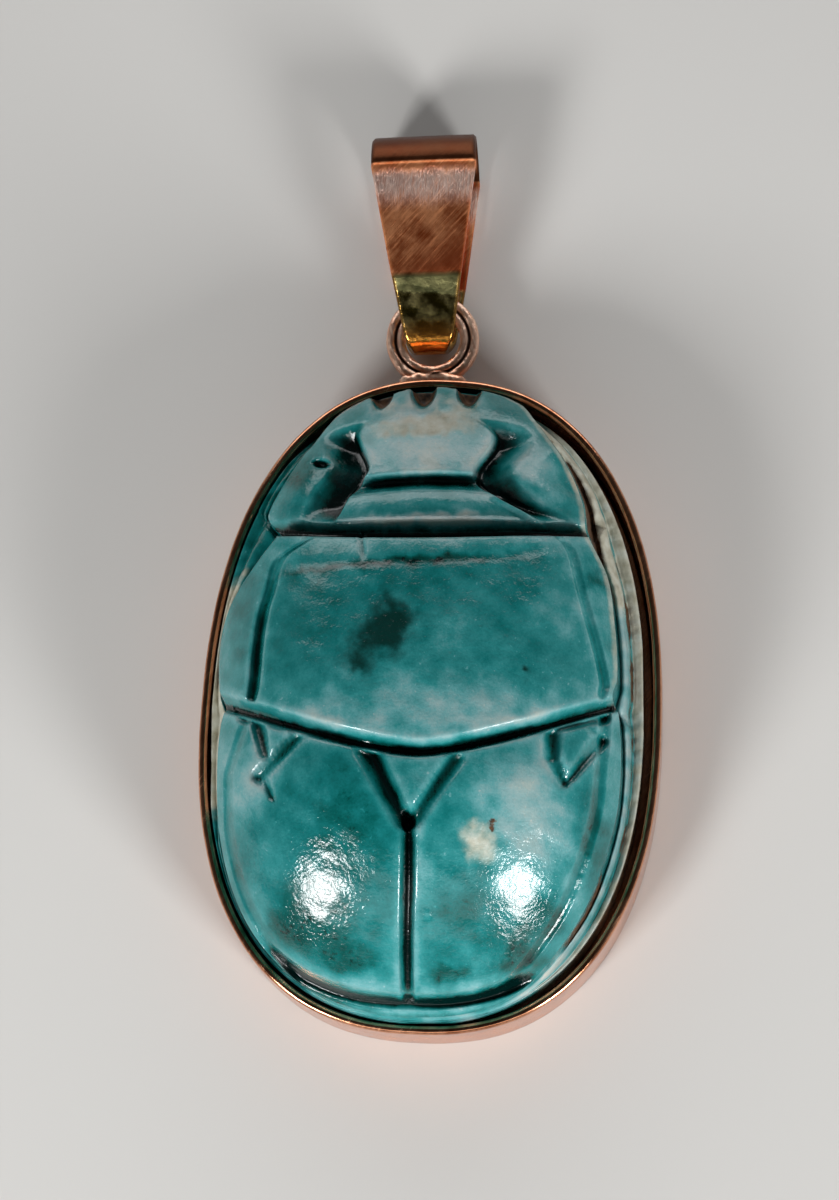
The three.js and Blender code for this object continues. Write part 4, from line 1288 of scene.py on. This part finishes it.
# %% Floor
FLOOR_HALF, FLOOR_DROP = 1.5, 0.00002
floor_mesh = bpy.data.meshes.new("floor")
floor_corners = [(x * FLOOR_HALF, y * FLOOR_HALF, 0) for x, y in ((-1, -1), (1, -1), (1, 1), (-1, 1))]
floor_mesh.from_pydata(floor_corners, [], [(0, 1, 2, 3)])
floor = linked("floor", floor_mesh)
floor_look, here, surface = material("floor")
surfaced(here, surface, Base_Color=(0.62, 0.61, 0.59, 1.0), Roughness=0.9)
floor_mesh.materials.append(floor_look)
floor.location.z = -FLOOR_DROP

# %% Lights
LIGHTS_AIM = Vector((0.0, -0.004, 0.006))


def soft_box(name, direction, distance, size, power):
    light = bpy.data.lights.new(name, "AREA")
    light.shape, light.energy = "RECTANGLE", power
    light.size, light.size_y = size
    obj = linked(name, light)
    way = Vector(direction).normalized()
    obj.location = LIGHTS_AIM + way * distance
    obj.rotation_euler = (-way).to_track_quat("-Z", "Y").to_euler()


soft_box("left", (-0.57, -0.68, 0.47), 0.5, (0.13, 0.13), 2.0)
soft_box("right", (0.62, -0.72, 0.36), 0.5, (0.13, 0.16), 2.2)
soft_box("fill", (-0.05, 0.94, 0.36), 1.0, (1.6, 0.5), 6.4)
soft_box("front", (0.0, -0.85, 0.5), 0.5, (0.8, 0.2), 0.6)

# %% The room
world = bpy.data.worlds.new("room")
bpy.context.scene.world = world
world.use_nodes = True
room = world.node_tree
_, _, overhead = Wire(room, room.nodes.new("ShaderNodeTexCoord").outputs["Generated"]).split()
ROOM_GREYS = ((0.0, 0.12), (0.3, 0.12), (0.7, 0.04), (0.92, 0.03))
grey = ramp(overhead, [(height, (value,) * 3) for height, value in ROOM_GREYS])
room.links.new(grey.socket, room.nodes["Background"].inputs["Color"])
room.nodes["Background"].inputs["Strength"].default_value = 1.0
bpy.context.scene.view_settings.view_transform = "Standard"

# %% [markdown]
# ## Camera
#
# A long lens looks down on the pendant from a quarter of a metre, tilted a little towards the tail and the
# right, as one holds a camera over a table. Straight from above, the flanks would hardly show.

# %% Camera
LENS, DISTANCE, TO_TAIL, TO_RIGHT = 136.35, 0.25, math.radians(12.8), math.radians(3.8)
camera_data = bpy.data.cameras.new("camera")
camera_data.sensor_fit, camera_data.sensor_height, camera_data.sensor_width = "VERTICAL", 36.0, 36.0
camera_data.lens = LENS
camera_data.clip_start, camera_data.clip_end = 0.01, 5.0
camera = linked("camera", camera_data)
away = Vector((math.tan(TO_RIGHT), -math.tan(TO_TAIL), 1.0)).normalized()
upwards = (Vector((0.0, 1.0, 0.0)) - away * away.y).normalized()
camera.location = Vector((-0.00048, -0.001665, 0.004)) + away * DISTANCE
camera.rotation_euler = Matrix((upwards.cross(away), upwards, away)).transposed().to_euler()
bpy.context.scene.camera = camera
